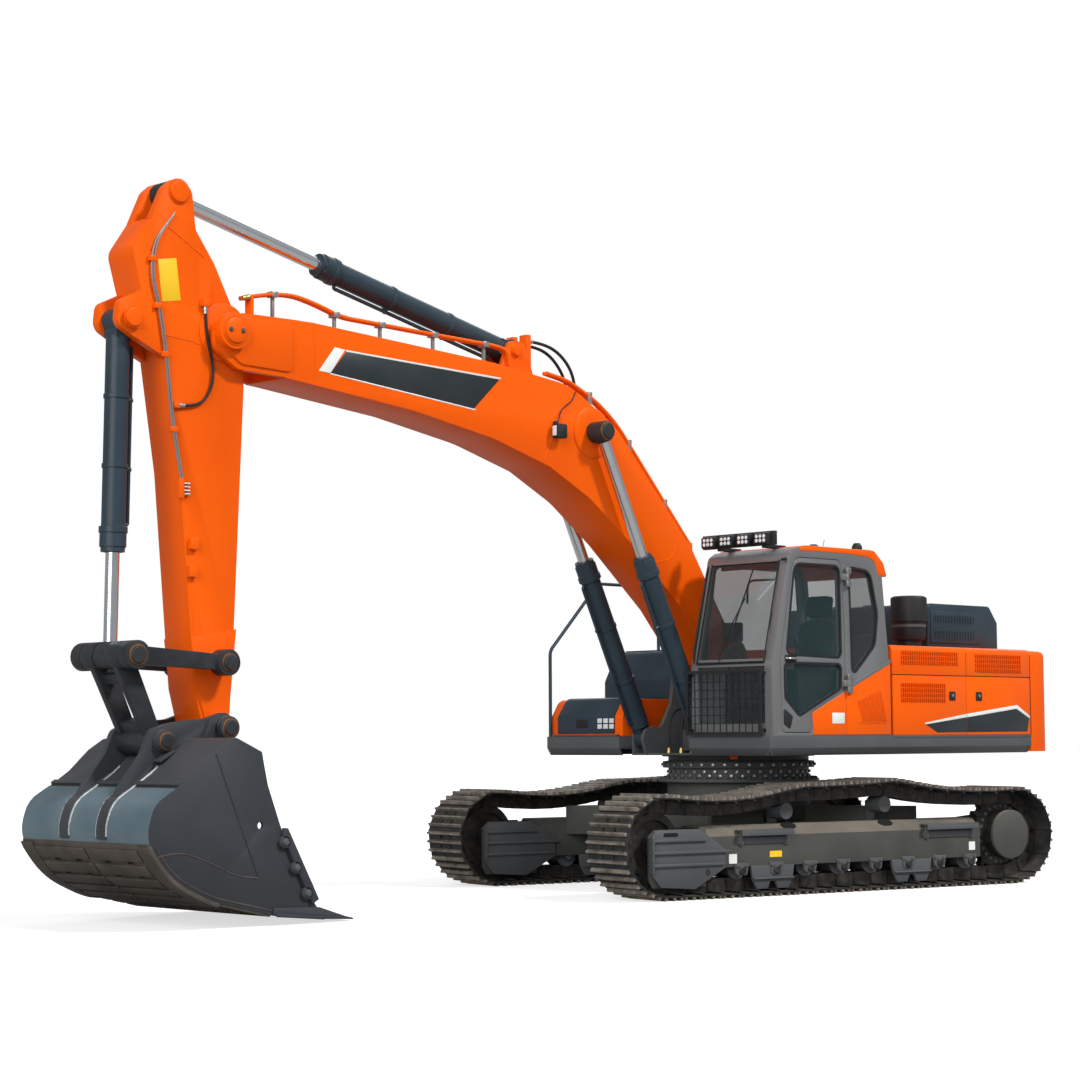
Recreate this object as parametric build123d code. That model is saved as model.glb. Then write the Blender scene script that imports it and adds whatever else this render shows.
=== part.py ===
from build123d import *
import math
import os

# Ground line and swing axis: X points forward, Y to the cab's side, Z up.
# The origin is on the ground under the swing axis. All sizes are in mm.

# Hoses
lift_hose_diameter = 30
arm_hose_diameter = 24
foot_hose_diameter = 22
valve_block_top_z = 1500

# Undercarriage, in its own frame before it is turned under the house
swing_angle = 10.4
track_gauge = 2740
idler_x = 2120
sprocket_x = -2150
shoe_width = 600
shoe_plate = 12
grouser_height = 30
grouser_top = 14
grouser_flank = 14
pin_to_shoe = 50
pin_to_rail = 79
track_pitch = 216
sprocket_teeth = 22
rail_inner = 45
rail_outer = 95
carrier_front_x = 600
carrier_rear_x = -600
carrier_front_lift = 63
carrier_rear_lift = 100
front_sag = 80
middle_sag = 12
rear_sag = 55
lower_roller_count = 9
lower_roller_spacing = 400
lower_roller_radius = 90
carrier_roller_radius = 75
roller_flange = 18
frame_half_width = 180
frame_wall = 22
frame_bottom_z = 270
frame_side_z = 545
frame_top_z = 640
frame_front_x = 1600
frame_rear_x = -1740
seat_gap = 0.3

# Middle of the undercarriage and the turntable
carbody_bottom_z = 480
carbody_top_z = 760
carbody_plate = 28
turret_radius = 700
turret_wall = 60
turret_top_z = 1000
bearing_radius = 690
bearing_bore = 560
bearing_split_z = 1130

# House frame
deck_bottom_z = 1262
deck_top_z = 1445
deck_plate = 12
side_y = 1490
house_rear_x = -2830
left_deck_front_x = 1250
right_deck_front_x = 1180
deck_notch_y = 490
skirt_wall = 12
skirt_chamfer_y = 50
skirt_chamfer_z = 70
girder_y = 290
girder_wall = 40
boom_foot_x = 405
boom_foot_z = 2166
boom_foot_pin = 60

# Boom
boom_half_width = 270
boom_side_plate = 14
boom_flange_plate = 18
boom_tip_x = 6407
boom_tip_z = 4711
boom_tip_pin = 60
nose_boss_radius = 150
nose_boss_y = 340
arm_gap_y = 215

# Boom cylinders
boom_cylinder_y = 385
boom_cylinder_base_x = 940
boom_cylinder_base_z = 1430
boom_cylinder_pin_x = 2290
boom_cylinder_pin_z = 4235
boom_barrel_radius = 92
boom_barrel_length = 1865
boom_rod_radius = 55
boom_rod_length = 1975
boom_eye_half_width = 48
cylinder_pin = 50

# Arm cylinder
arm_cylinder_base_x = 3120
arm_cylinder_base_z = 4930
arm_cylinder_pin_x = 6850
arm_cylinder_pin_z = 5800
arm_barrel_radius = 100
arm_barrel_length = 2250
arm_rod_radius = 60
arm_rod_length = 2230
arm_eye_half_width = 88

# Bucket cylinder
bucket_cylinder_base_x = 7295
bucket_cylinder_base_z = 4730
bucket_cylinder_pin_x = 7345
bucket_cylinder_pin_z = 2090
bucket_barrel_radius = 95
bucket_barrel_length = 1830
bucket_rod_radius = 55
bucket_rod_length = 1870
bucket_eye_half_width = 88

# Arm
arm_half_width = 175
arm_side_plate = 12
arm_flange_plate = 16
head_plate = 60

# Bucket linkage
bucket_pin_x = 6440
bucket_pin_z = 1530
link_pivot_x = 6480
link_pivot_z = 2045
h_link_pin_x = 7045
h_link_pin_z = 1430
link_pin_radius = 50
side_link_inner_y = 270
side_link_outer_y = 350
side_link_end_y = 385
h_link_ear_inner_y = 95
h_link_ear_outer_y = 262

# Bucket
bucket_half_width = 870
bucket_side_plate = 30
bucket_shell_plate = 26
bucket_ear_inner_y = 225
bucket_ear_plate = 60
shackle_hole_x = 6540
shackle_hole_z = 775
shackle_hole_radius = 27.5
lip_joint_x = 5965

# Cab
cab_inner_y = 495
cab_outer_y = 1490
cab_front_x = 1210
cab_wall = 55
cab_roof_z = 3180
cab_rear_x = -500
glass_thickness = 6

# Machinery house
cover_top_z = 2310
lift_hole_x_back = 3180
lift_hole_y = 700
lift_hole_radius = 18.75
lift_hole_depth = 90
cover_wall = 25
belt_line_z = 2025
cover_front_x = -550
door_joint_x = -1735
panel_gap = 6
cab_door_hinge_x = 150
cab_door_hinge_y = 1525
side_hinge_out = 12
hinge_leaf = 60
door_hinge_heights = (1900, 2900)


def place_outline(points):
    """Closed face through (a, b) points; a third value rounds that corner."""
    starts, arcs, ends = [], [], []
    count = len(points)
    for i, point in enumerate(points):
        corner = Vector(point[0], point[1])
        before = Vector(*points[i - 1][:2]) - corner
        after = Vector(*points[(i + 1) % count][:2]) - corner
        if len(point) == 2:
            starts.append(corner)
            arcs.append(None)
            ends.append(corner)
            continue
        half = math.radians(before.get_angle(after)) / 2
        reach = point[2] / math.tan(half)
        for side, other in ((before, points[i - 1]), (after, points[(i + 1) % count])):
            share = 0.98 if len(other) == 2 else 0.49
            reach = min(reach, side.length * share)
        radius = reach * math.tan(half)
        first, second = before.normalized(), after.normalized()
        middle = corner + (first + second).normalized() * (radius / math.sin(half) - radius)
        starts.append(corner + first * reach)
        ends.append(corner + second * reach)
        arcs.append(middle)
    edges = []
    for i in range(count):
        if arcs[i] is not None:
            edges.append(ThreePointArc(starts[i], arcs[i], ends[i]))
        edges.append(Line(ends[i], starts[(i + 1) % count]))
    return make_face(edges)


def side_plate(points, y_from, y_to):
    """Solid with an X-Z outline between two Y places."""
    face = points if isinstance(points, (Face, Sketch)) else place_outline(points)
    return extrude(Plane.XZ.offset(-y_to) * face, amount=y_to - y_from)


def plan_plate(points, z_from, z_to):
    """Solid with an X-Y outline between two heights."""
    face = points if isinstance(points, (Face, Sketch)) else place_outline(points)
    return extrude(Plane.XY.offset(z_from) * face, amount=z_to - z_from)


def cross_plate(points, x_from, x_to):
    """Solid with a Y-Z outline between two X places."""
    face = points if isinstance(points, (Face, Sketch)) else place_outline(points)
    return extrude(Plane.YZ.offset(x_from) * face, amount=x_to - x_from)


def block(x_from, x_to, y_from, y_to, z_from, z_to):
    """Box between six limits."""
    size = (x_to - x_from, y_to - y_from, z_to - z_from)
    middle = ((x_from + x_to) / 2, (y_from + y_to) / 2, (z_from + z_to) / 2)
    return Pos(*middle) * Box(*size)


def cross_pin(x, z, radius, y_from, y_to):
    """Cylinder along Y."""
    return extrude(Plane.XZ.offset(-y_to) * Pos(x, z) * Circle(radius), amount=y_to - y_from)


def upright(x, y, radius, z_from, z_to):
    """Cylinder along Z."""
    return extrude(Plane.XY.offset(z_from) * Pos(x, y) * Circle(radius), amount=z_to - z_from)


def both_sides(shape):
    """The shape and its mirror image across the X-Z plane."""
    return shape + mirror(shape, about=Plane.XZ)


def joined(shapes):
    """All shapes fused to one."""
    total = shapes[0]
    for shape in shapes[1:]:
        total = total + shape
    return total


def save(shape, node):
    """Write one sub-part."""
    export_step(shape, f"parts/{node}.step")


def under_house(shape):
    """Turn an undercarriage piece to its place under the house."""
    return Rot(0, 0, -swing_angle) * shape


# Track chain: pin points on a closed path, then one outline for the shoes
pins_round_wheel = sprocket_teeth / 2
pin_radius = track_pitch / (2 * math.sin(math.pi / pins_round_wheel))
tip_offset = pin_to_shoe + shoe_plate + grouser_height
axle_z = pin_radius + tip_offset
rail_radius = pin_radius * math.cos(math.pi / pins_round_wheel) - pin_to_rail
bottom_rail_z = tip_offset + pin_to_rail
track_y = track_gauge / 2


def sagging_span(start, end, sag, count=40):
    """Points of one hanging stretch of the top run, without its last point."""
    points = []
    for i in range(count):
        u = i / count
        x = start[0] + (end[0] - start[0]) * u
        z = start[1] + (end[1] - start[1]) * u - 4 * sag * u * (1 - u)
        points.append((x, z))
    return points


def chain_pins():
    """Pin places, evenly spaced along the chain, from under the sprocket forward."""
    top = axle_z + pin_radius
    carrier_front = (carrier_front_x, top + carrier_front_lift)
    carrier_rear = (carrier_rear_x, top + carrier_rear_lift)
    supports = [(idler_x, top), carrier_front, carrier_rear, (sprocket_x, top)]
    sags = [front_sag, middle_sag, rear_sag]
    top_run = []
    for start, end, sag in zip(supports, supports[1:], sags):
        top_run += sagging_span(start, end, sag)
    top_run.append(supports[-1])
    lengths = [math.dist(a, b) for a, b in zip(top_run, top_run[1:])]
    bottom_length = idler_x - sprocket_x
    wrap_length = track_pitch * pins_round_wheel / 2
    total = bottom_length + 2 * wrap_length + sum(lengths)
    count = round(total / track_pitch)
    pins = []
    for i in range(count):
        s = total * i / count
        if s < bottom_length:
            pins.append((sprocket_x + s, axle_z - pin_radius))
            continue
        s -= bottom_length
        if s < wrap_length:
            turn = math.pi * s / wrap_length
            pins.append((idler_x + pin_radius * math.sin(turn), axle_z - pin_radius * math.cos(turn)))
            continue
        s -= wrap_length
        if s < sum(lengths):
            step = 0
            while s > lengths[step]:
                s -= lengths[step]
                step += 1
            a, b = top_run[step], top_run[step + 1]
            u = s / lengths[step]
            pins.append((a[0] + (b[0] - a[0]) * u, a[1] + (b[1] - a[1]) * u))
            continue
        s -= sum(lengths)
        turn = math.pi * s / wrap_length
        pins.append((sprocket_x - pin_radius * math.sin(turn), axle_z + pin_radius * math.cos(turn)))
    return pins


def offset_pins(pins, distance):
    """Corners of the chain's line moved outward by a distance, straight corners dropped."""
    corners = []
    for before, pin, after in zip(pins[-1:] + pins[:-1], pins, pins[1:] + pins[:1]):
        first = Vector(pin[0] - before[0], pin[1] - before[1]).normalized()
        second = Vector(after[0] - pin[0], after[1] - pin[1]).normalized()
        cosine = first.X * second.X + first.Y * second.Y
        if cosine > 0.999999:
            continue
        middle = (first + second).normalized()
        scale = distance / math.sqrt((1 + cosine) / 2)
        corners.append((pin[0] + middle.Y * scale, pin[1] - middle.X * scale))
    return corners


def shoe_outline(pins):
    """Outer outline of the chain, with three grousers on every shoe."""
    plate = pin_to_shoe + shoe_plate
    middle = track_pitch / 2
    first = 3
    half = grouser_top / 2
    profile = [
        (0, plate),
        (first, tip_offset),
        (first + grouser_top, tip_offset),
        (first + grouser_top + grouser_flank, plate),
        (middle - half - grouser_flank, plate),
        (middle - half, tip_offset),
        (middle + half, tip_offset),
        (middle + half + grouser_flank, plate),
        (track_pitch - first - grouser_top - grouser_flank, plate),
        (track_pitch - first - grouser_top, tip_offset),
        (track_pitch - first, tip_offset),
    ]
    points = []
    for pin, after in zip(pins, pins[1:] + pins[:1]):
        along = Vector(after[0] - pin[0], after[1] - pin[1])
        stretch = along.length / track_pitch
        along = along.normalized()
        for u, v in profile:
            x = pin[0] + along.X * u * stretch + along.Y * v
            z = pin[1] + along.Y * u * stretch - along.X * v
            points.append((x, z))
    return points


def rail_height(pins, x):
    """Height of the rails' running face on the top run."""
    rail = [p for p in offset_pins(pins, -pin_to_rail) if p[1] > axle_z]
    for a, b in zip(rail, rail[1:]):
        if b[0] <= x <= a[0]:
            return a[1] + (b[1] - a[1]) * (x - a[0]) / (b[0] - a[0])
    return axle_z


def carrier_height(pins, x):
    """Height of a carrier roller's axis where it just bears on the rails."""
    heights = []
    for step in range(-10, 11):
        reach = carrier_roller_radius * step / 12
        drop = math.sqrt(carrier_roller_radius ** 2 - reach ** 2)
        heights.append(rail_height(pins, x + reach) - drop)
    return min(heights) - seat_gap


def track(pins):
    """Left track: shoes with grousers on two rails."""
    inner = place_outline(offset_pins(pins, pin_to_shoe))
    shoes = place_outline(shoe_outline(pins)) - inner
    rails = inner - place_outline(offset_pins(pins, -pin_to_rail))
    half = shoe_width / 2
    band = side_plate(shoes, track_y - half, track_y + half)
    outer_rail = side_plate(rails, track_y + rail_inner, track_y + rail_outer)
    inner_rail = side_plate(rails, track_y - rail_outer, track_y - rail_inner)
    return band + outer_rail + inner_rail


def idler():
    """Left idler: two treads that carry the rails, and a guide rib between them."""
    tread = rail_radius - seat_gap
    wheel = cross_pin(idler_x, axle_z, tread, track_y - rail_outer + 2, track_y + rail_outer - 2)
    wheel += cross_pin(idler_x, axle_z, tread + 28, track_y - rail_inner + 6, track_y + rail_inner - 6)
    dish = cross_pin(idler_x, axle_z, tread - 55, track_y + 55, track_y + rail_outer)
    dish -= cross_pin(idler_x, axle_z, 110, track_y + 55, track_y + rail_outer)
    wheel -= dish + mirror(dish, about=Plane.XZ.offset(-track_y))
    shaft_reach = frame_half_width - frame_wall
    wheel += cross_pin(idler_x, axle_z, 60, track_y - shaft_reach, track_y + shaft_reach)
    return wheel


def sprocket():
    """Left sprocket ring with its final drive drum."""
    root = pin_radius - 34
    tip = pin_radius + 12
    step = 360 / sprocket_teeth
    points = []
    for i in range(sprocket_teeth):
        valley = -90 + i * step
        for angle, radius in ((-0.26, root), (0.26, root), (0.36, tip), (0.64, tip)):
            turn = math.radians(valley + angle * step)
            points.append((sprocket_x + radius * math.cos(turn), axle_z + radius * math.sin(turn)))
    ring = side_plate(points, track_y - rail_inner + 7, track_y + rail_inner - 7)
    drum = cross_pin(sprocket_x, axle_z, 232, track_y + rail_inner - 7, track_y + 200)
    cover = cross_pin(sprocket_x, axle_z, 200, track_y + 200, track_y + 232)
    return ring + drum + cover


def roller(x, z, radius):
    """One track roller with its shaft between the frame's walls."""
    reach = frame_half_width - frame_wall
    body = cross_pin(x, z, radius, track_y - rail_outer - 1, track_y + rail_outer + 1)
    for side in (-1, 1):
        inner = track_y + side * (rail_outer + 1)
        outer = track_y + side * (rail_outer + 16)
        body += cross_pin(x, z, radius + roller_flange, min(inner, outer), max(inner, outer))
    return body + cross_pin(x, z, 36, track_y - reach, track_y + reach)


def carrier_roller(x, z, radius):
    """One carrier roller on a post that stands on the track frame."""
    body = cross_pin(x, z, radius, track_y - rail_outer, track_y + rail_outer)
    arm = cross_pin(x, z, 34, track_y - rail_outer - 45, track_y - rail_outer)
    post = block(x - 45, x + 45, track_y - rail_outer - 45, track_y - rail_outer - 10, frame_top_z, z + 34)
    return body + arm + post


def rollers(pins):
    """Nine lower rollers and two carrier rollers of the left side."""
    first = (lower_roller_count - 1) * lower_roller_spacing / 2
    low_z = bottom_rail_z + seat_gap + lower_roller_radius
    pieces = []
    for i in range(lower_roller_count):
        pieces.append(roller(first - i * lower_roller_spacing, low_z, lower_roller_radius))
    for x in (carrier_front_x, carrier_rear_x):
        z = carrier_height(pins, x)
        pieces.append(carrier_roller(x, z, carrier_roller_radius))
    return joined(pieces)


def frame_section(inset):
    """Half of the track frame's section: outer wall with a sloping shoulder."""
    half = frame_half_width - inset
    return [
        (track_y - half, frame_bottom_z),
        (track_y - half, frame_top_z - inset),
        (track_y + 70, frame_top_z - inset),
        (track_y + half, frame_side_z - inset * 0.5),
        (track_y + half, frame_bottom_z),
    ]


def track_frame():
    """Left track frame, open below, with the idler's guard at its front."""
    beam = cross_plate(frame_section(0), frame_rear_x, frame_front_x)
    beam -= cross_plate(frame_section(frame_wall), frame_rear_x + frame_wall, frame_front_x)
    guard = [
        (frame_front_x, 110),
        (idler_x + 70, 110),
        (idler_x + 110, 190),
        (idler_x + 110, 560),
        (idler_x + 40, 620),
        (frame_front_x, 620),
    ]
    reach = frame_half_width
    for side in (-1, 1):
        inner = track_y + side * (reach - frame_wall)
        outer = track_y + side * reach
        beam += side_plate(guard, min(inner, outer), max(inner, outer))
    bracket = [
        (frame_rear_x, frame_bottom_z),
        (frame_rear_x, frame_top_z),
        (sprocket_x - 40, frame_top_z + 40, 60),
        (sprocket_x - 240, axle_z, 120),
        (sprocket_x - 40, frame_bottom_z + 20, 60),
    ]
    beam += side_plate(bracket, track_y - reach, track_y - reach + 2 * frame_wall)
    motor_end = track_y - rail_inner + 7
    beam += cross_pin(sprocket_x, axle_z, 190, track_y - reach, motor_end)
    return beam


def carbody():
    """X-shaped middle of the undercarriage with the turret ring."""
    reach = track_y - frame_half_width
    corner = [(1250, reach), (650, reach), (260, 700)]
    outline = []
    outline += [(750, -480), (corner[0][0], -reach), (corner[1][0], -reach), (corner[2][0], -700)]
    outline += [(-corner[2][0], -700), (-corner[1][0], -reach), (-corner[0][0], -reach), (-750, -480)]
    outline += [(-750, 480), (-corner[0][0], reach), (-corner[1][0], reach), (-corner[2][0], 700)]
    outline += [(corner[2][0], 700), (corner[1][0], reach), (corner[0][0], reach), (750, 480)]
    face = place_outline(outline)
    body = plan_plate(face, carbody_bottom_z, carbody_top_z)
    inner = offset(face, amount=-carbody_plate, kind=Kind.INTERSECTION)
    body -= plan_plate(inner, carbody_bottom_z + carbody_plate, carbody_top_z - carbody_plate)
    drum = upright(0, 0, turret_radius, carbody_top_z, turret_top_z)
    drum -= upright(0, 0, turret_radius - turret_wall, carbody_top_z, turret_top_z)
    return body + drum


def bearing_half(z_from, z_to):
    """One race of the turntable bearing."""
    ring = upright(0, 0, bearing_radius, z_from, z_to)
    return ring - upright(0, 0, bearing_bore, z_from, z_to)


# House frame
def skirt(front_x, rear_x):
    """Left side skirt, folded in along its lower edge."""
    top = deck_top_z - deck_plate
    low = deck_bottom_z + skirt_chamfer_z
    section = [
        (side_y, top),
        (side_y, low),
        (side_y - skirt_chamfer_y, deck_bottom_z),
        (side_y - skirt_chamfer_y - skirt_wall, deck_bottom_z),
        (side_y - skirt_wall, low),
        (side_y - skirt_wall, top),
    ]
    return cross_plate(section, rear_x, front_x)


def front_skirt(front_x, y_from, y_to):
    """Front skirt of one deck."""
    top = deck_top_z - deck_plate
    low = deck_bottom_z + skirt_chamfer_z
    section = [
        (front_x, top),
        (front_x, low),
        (front_x - skirt_chamfer_y, deck_bottom_z),
        (front_x - skirt_chamfer_y - skirt_wall, deck_bottom_z),
        (front_x - skirt_wall, low),
        (front_x - skirt_wall, top),
    ]
    return side_plate(section, y_from, y_to)


def boom_bracket():
    """Bracket plate that carries the boom foot and the boom cylinder's base pin."""
    outline = [
        (boom_foot_x - 520, deck_bottom_z),
        (boom_foot_x - 430, deck_top_z + 60),
        (boom_foot_x - 170, boom_foot_z + 30, 60),
        (boom_foot_x - 60, boom_foot_z + 165, 90),
        (boom_foot_x + 110, boom_foot_z + 130, 90),
        (boom_foot_x + 190, boom_foot_z - 80, 60),
        (boom_cylinder_base_x - 290, boom_cylinder_base_z + 330, 60),
        (boom_cylinder_base_x - 150, boom_cylinder_base_z + 100, 60),
        (boom_cylinder_base_x - 20, boom_cylinder_base_z + 110, 60),
        (boom_cylinder_base_x + 70, boom_cylinder_base_z + 85, 60),
        (boom_cylinder_base_x + 112, boom_cylinder_base_z, 60),
        (boom_cylinder_base_x + 60, deck_bottom_z),
    ]
    return side_plate(outline, girder_y, girder_y + girder_wall)


def house_frame():
    """Deck, skirts, girders, boom brackets and the turntable's upper race."""
    notch_rear = boom_foot_x + 60
    plan = [
        (left_deck_front_x, deck_notch_y),
        (left_deck_front_x, side_y),
        (house_rear_x, side_y),
        (house_rear_x, -side_y),
        (right_deck_front_x, -side_y),
        (right_deck_front_x, -deck_notch_y),
        (notch_rear, -deck_notch_y),
        (notch_rear, deck_notch_y),
    ]
    frame = plan_plate(plan, deck_top_z - deck_plate, deck_top_z)
    frame += skirt(left_deck_front_x, house_rear_x)
    frame += mirror(skirt(right_deck_front_x, house_rear_x), about=Plane.XZ)
    frame += front_skirt(left_deck_front_x, deck_notch_y, side_y - skirt_wall)
    frame += front_skirt(right_deck_front_x, -side_y + skirt_wall, -deck_notch_y)
    top = deck_top_z - deck_plate
    for front_x, y_from in ((left_deck_front_x, deck_notch_y), (right_deck_front_x, -deck_notch_y - skirt_wall)):
        frame += block(notch_rear, front_x - skirt_wall, y_from, y_from + skirt_wall, deck_bottom_z + 60, top)
    girder = block(house_rear_x, notch_rear, girder_y, girder_y + girder_wall, deck_bottom_z, top)
    frame += both_sides(girder + boom_bracket())
    base = boom_cylinder_y + boom_eye_half_width + 5
    lug = side_plate([
        (boom_cylinder_base_x - 330, deck_bottom_z),
        (boom_cylinder_base_x - 330, top),
        (boom_cylinder_base_x - 60, boom_cylinder_base_z + 90, 50),
        (boom_cylinder_base_x + 90, boom_cylinder_base_z + 60, 60),
        (boom_cylinder_base_x + 80, deck_bottom_z),
    ], base, base + 34)
    floor = block(notch_rear, boom_cylinder_base_x + 60, girder_y, base + 34, deck_bottom_z, deck_bottom_z + 20)
    base_pin = cross_pin(boom_cylinder_base_x, boom_cylinder_base_z, cylinder_pin, girder_y, base + 34)
    frame += both_sides(lug + floor + base_pin)
    middle = block(notch_rear - 200, boom_cylinder_base_x + 40, -girder_y, girder_y, deck_bottom_z, deck_bottom_z + 20)
    frame += middle
    frame += plan_plate(Circle(bearing_radius + 60), deck_bottom_z - 16, deck_bottom_z)
    frame += bearing_half(bearing_split_z + seat_gap, deck_bottom_z - 16)
    frame += block(notch_rear, notch_rear + 110, -230, 230, deck_bottom_z + 40, valve_block_top_z)
    foot_pin = cross_pin(boom_foot_x, boom_foot_z, boom_foot_pin, girder_y, girder_y + girder_wall)
    return frame + both_sides(foot_pin)


def counterweight():
    """Cast counterweight with its tail on the swing radius."""
    tail = 3500
    blank = plan_plate(Circle(tail), deck_bottom_z + 10, cover_top_z - 10)
    keep = block(-tail - 10, house_rear_x, -side_y, side_y, deck_bottom_z, cover_top_z)
    body = blank & keep
    corners = body.edges().filter_by(Axis.Z).sort_by(Axis.X)[:2]
    body = fillet(corners, 260)
    rim = body.faces().sort_by(Axis.Z)[-1].edges()
    rear_rim = [e for e in rim if e.center().X < house_rear_x - 1]
    body = fillet(rear_rim, 60)
    hollow = block(house_rear_x - 330, house_rear_x, -1180, 1180, deck_top_z + 60, cover_top_z - 120)
    top = cover_top_z - 10
    hole = upright(-lift_hole_x_back, lift_hole_y, lift_hole_radius, top - lift_hole_depth, top)
    return body - hollow - both_sides(hole)


# Cab
cab_profile = [
    (cab_rear_x - 20, deck_top_z),
    (cab_front_x, deck_top_z),
    (cab_front_x, 2080, 300),
    (cab_front_x - 250, cab_roof_z - 60, 90),
    (cab_front_x - 360, cab_roof_z, 120),
    (cab_rear_x + 110, cab_roof_z, 120),
    (cab_rear_x, 2150, 60),
]
door_outline = [
    (1075, deck_top_z + 30, 40),
    (1090, 2130, 300),
    (890, 3085, 140),
    (215, 3085, 60),
    (165, 2400),
    (165, 1880, 40),
    (680, 1655, 60),
    (655, deck_top_z + 30, 40),
]
door_window = [
    (1010, 2190, 60),
    (880, 3030, 100),
    (235, 3030, 60),
    (220, 2170, 60),
]
door_low_window = [
    (1040, 2110, 50),
    (220, 2110, 50),
    (235, 1880, 60),
    (835, 1625, 40),
    (1035, 1790, 60),
]
quarter_window = [
    (90, 3030, 50),
    (-230, 3000, 120),
    (-335, 2600, 260),
    (-290, 2300, 160),
    (60, 1995, 40),
]


def cab_shell():
    """Cab body: pillars, roof, floor and rear wall, open at every window and the door."""
    outer = side_plate(cab_profile, cab_inner_y, cab_outer_y)
    inner_face = offset(place_outline(cab_profile), amount=-cab_wall)
    outer -= side_plate(inner_face, cab_inner_y + cab_wall, cab_outer_y - cab_wall)
    wall = cab_wall + 2
    outer -= side_plate(offset(place_outline(door_outline), amount=panel_gap), cab_outer_y - wall, cab_outer_y + 1)
    outer -= side_plate(quarter_window, cab_outer_y - wall, cab_outer_y + 1)
    side_window = [(1060, 2150, 60), (900, 3040, 80), (-300, 3040, 80), (-380, 2150, 60)]
    outer -= side_plate(side_window, cab_inner_y - 1, cab_inner_y + wall)
    low, high = cab_inner_y + 75, cab_outer_y - 95
    outer -= block(cab_front_x - 500, cab_front_x + 50, low, high, 2150, cab_roof_z - 130)
    outer -= block(cab_front_x - 100, cab_front_x + 50, low, high, 1560, 2080)
    outer -= block(cab_rear_x - 50, cab_rear_x + 200, low, high, 2420, cab_roof_z - 160)
    for z in door_hinge_heights:
        outer += hinge_half(-1, z - hinge_leaf, z - seat_gap) + hinge_half(-1, z + hinge_leaf, z + 2 * hinge_leaf)
    return outer


def hinge_half(side, z_from, z_to):
    """Knuckle of the cab door's hinge with its strap towards the body (-1) or the door (1)."""
    knuckle = upright(cab_door_hinge_x, cab_door_hinge_y, 18, z_from, z_to)
    ends = sorted((cab_door_hinge_x, cab_door_hinge_x + side * 60))
    strap = block(ends[0], ends[1], cab_door_hinge_y - 18, cab_door_hinge_y - 2, z_from, z_to)
    inner = (cab_door_hinge_x + side * 20, cab_door_hinge_x + side * 60)
    foot = block(min(inner), max(inner), cab_outer_y, cab_door_hinge_y - 18, z_from, z_to)
    return knuckle + strap + foot


def cab_door():
    """Door frame with its two windows cut."""
    frame = side_plate(door_outline, cab_outer_y - cab_wall, cab_outer_y)
    frame -= side_plate(door_window, cab_outer_y - cab_wall, cab_outer_y)
    frame -= side_plate(door_low_window, cab_outer_y - cab_wall, cab_outer_y)
    for z in door_hinge_heights:
        frame += hinge_half(1, z, z + hinge_leaf - seat_gap)
    return frame


def pane(points, y):
    """Pane that fills a side opening, less its seal gap."""
    face = offset(place_outline(points), amount=-seat_gap)
    return side_plate(face, y, y + glass_thickness)


def door_glass():
    """Both panes of the door."""
    y = cab_outer_y - 22
    return pane(door_window, y) + pane(door_low_window, y)


def cab_glass():
    """Fixed panes: windscreen, lower front, quarter, right side and rear."""
    low, high = cab_inner_y + 75 + seat_gap, cab_outer_y - 95 - seat_gap
    pieces = [pane(quarter_window, cab_outer_y - 22)]
    side_window = [(1060, 2150, 60), (900, 3040, 80), (-300, 3040, 80), (-380, 2150, 60)]
    pieces.append(pane(side_window, cab_inner_y + 16))
    outer = place_outline(cab_profile)
    front = side_plate(offset(outer, amount=-18), low, high)
    front -= side_plate(offset(outer, amount=-18 - glass_thickness), low, high)
    gap = seat_gap
    pieces.append(front & block(cab_front_x - 400, cab_front_x + 50, low, high, 2150 + gap, cab_roof_z - 130 - gap))
    pieces.append(front & block(cab_front_x - 100, cab_front_x + 50, low, high, 1560 + gap, 2080 - gap))
    pieces.append(front & block(cab_rear_x - 50, cab_rear_x + 200, low, high, 2420 + gap, cab_roof_z - 160 - gap))
    return joined(pieces)


def seat():
    """Operator's seat: base, cushion, back and head rest."""
    y = (cab_inner_y + cab_outer_y) / 2
    floor = deck_top_z + cab_wall
    base = block(150, 520, y - 190, y + 190, floor, floor + 330)
    cushion = block(90, 600, y - 260, y + 260, floor + 330, floor + 460)
    back = side_plate([
        (60, floor + 440), (190, floor + 440), (90, floor + 1080), (-40, floor + 1080),
    ], y - 250, y + 250)
    rest = side_plate([
        (-30, floor + 1080), (85, floor + 1080), (60, floor + 1290), (-50, floor + 1290),
    ], y - 150, y + 150)
    return base + cushion + back + rest


def consoles():
    """Side consoles with joysticks, and the travel pedals' block."""
    y = (cab_inner_y + cab_outer_y) / 2
    floor = deck_top_z + cab_wall
    pieces = []
    for side in (-1, 1):
        middle = y + side * 355
        box_piece = block(120, 760, middle - 70, middle + 70, floor, floor + 560)
        stick = upright(690, middle, 18, floor + 560, floor + 760)
        pieces.append(box_piece + stick)
    pieces.append(block(880, 1080, y - 170, y + 170, floor, floor + 90))
    return joined(pieces)


# Machinery house
def machine_cover():
    """Fixed covers of the machinery house above the belt line, and its front wall."""
    outer = block(house_rear_x, cover_front_x, -side_y, side_y, belt_line_z, cover_top_z)
    outer = fillet(outer.edges().filter_by(Axis.X).group_by(Axis.Z)[-1], 60)
    inner = block(
        house_rear_x, cover_front_x - cover_wall, -side_y + cover_wall, side_y - cover_wall,
        belt_line_z, cover_top_z - cover_wall,
    )
    cover = outer - inner
    cover -= block(-2700, -1760, -900, 900, cover_top_z - 80, cover_top_z + 1)
    inside_y = side_y - cover_wall - panel_gap
    wall = block(cover_front_x - cover_wall, cover_front_x, -inside_y, inside_y, deck_top_z, belt_line_z)
    return cover + wall


def side_panel(x_from, x_to):
    """Door leaf on the left side, below the belt line."""
    return block(x_from, x_to, side_y - cover_wall, side_y, deck_top_z + seat_gap, belt_line_z - seat_gap)


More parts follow.
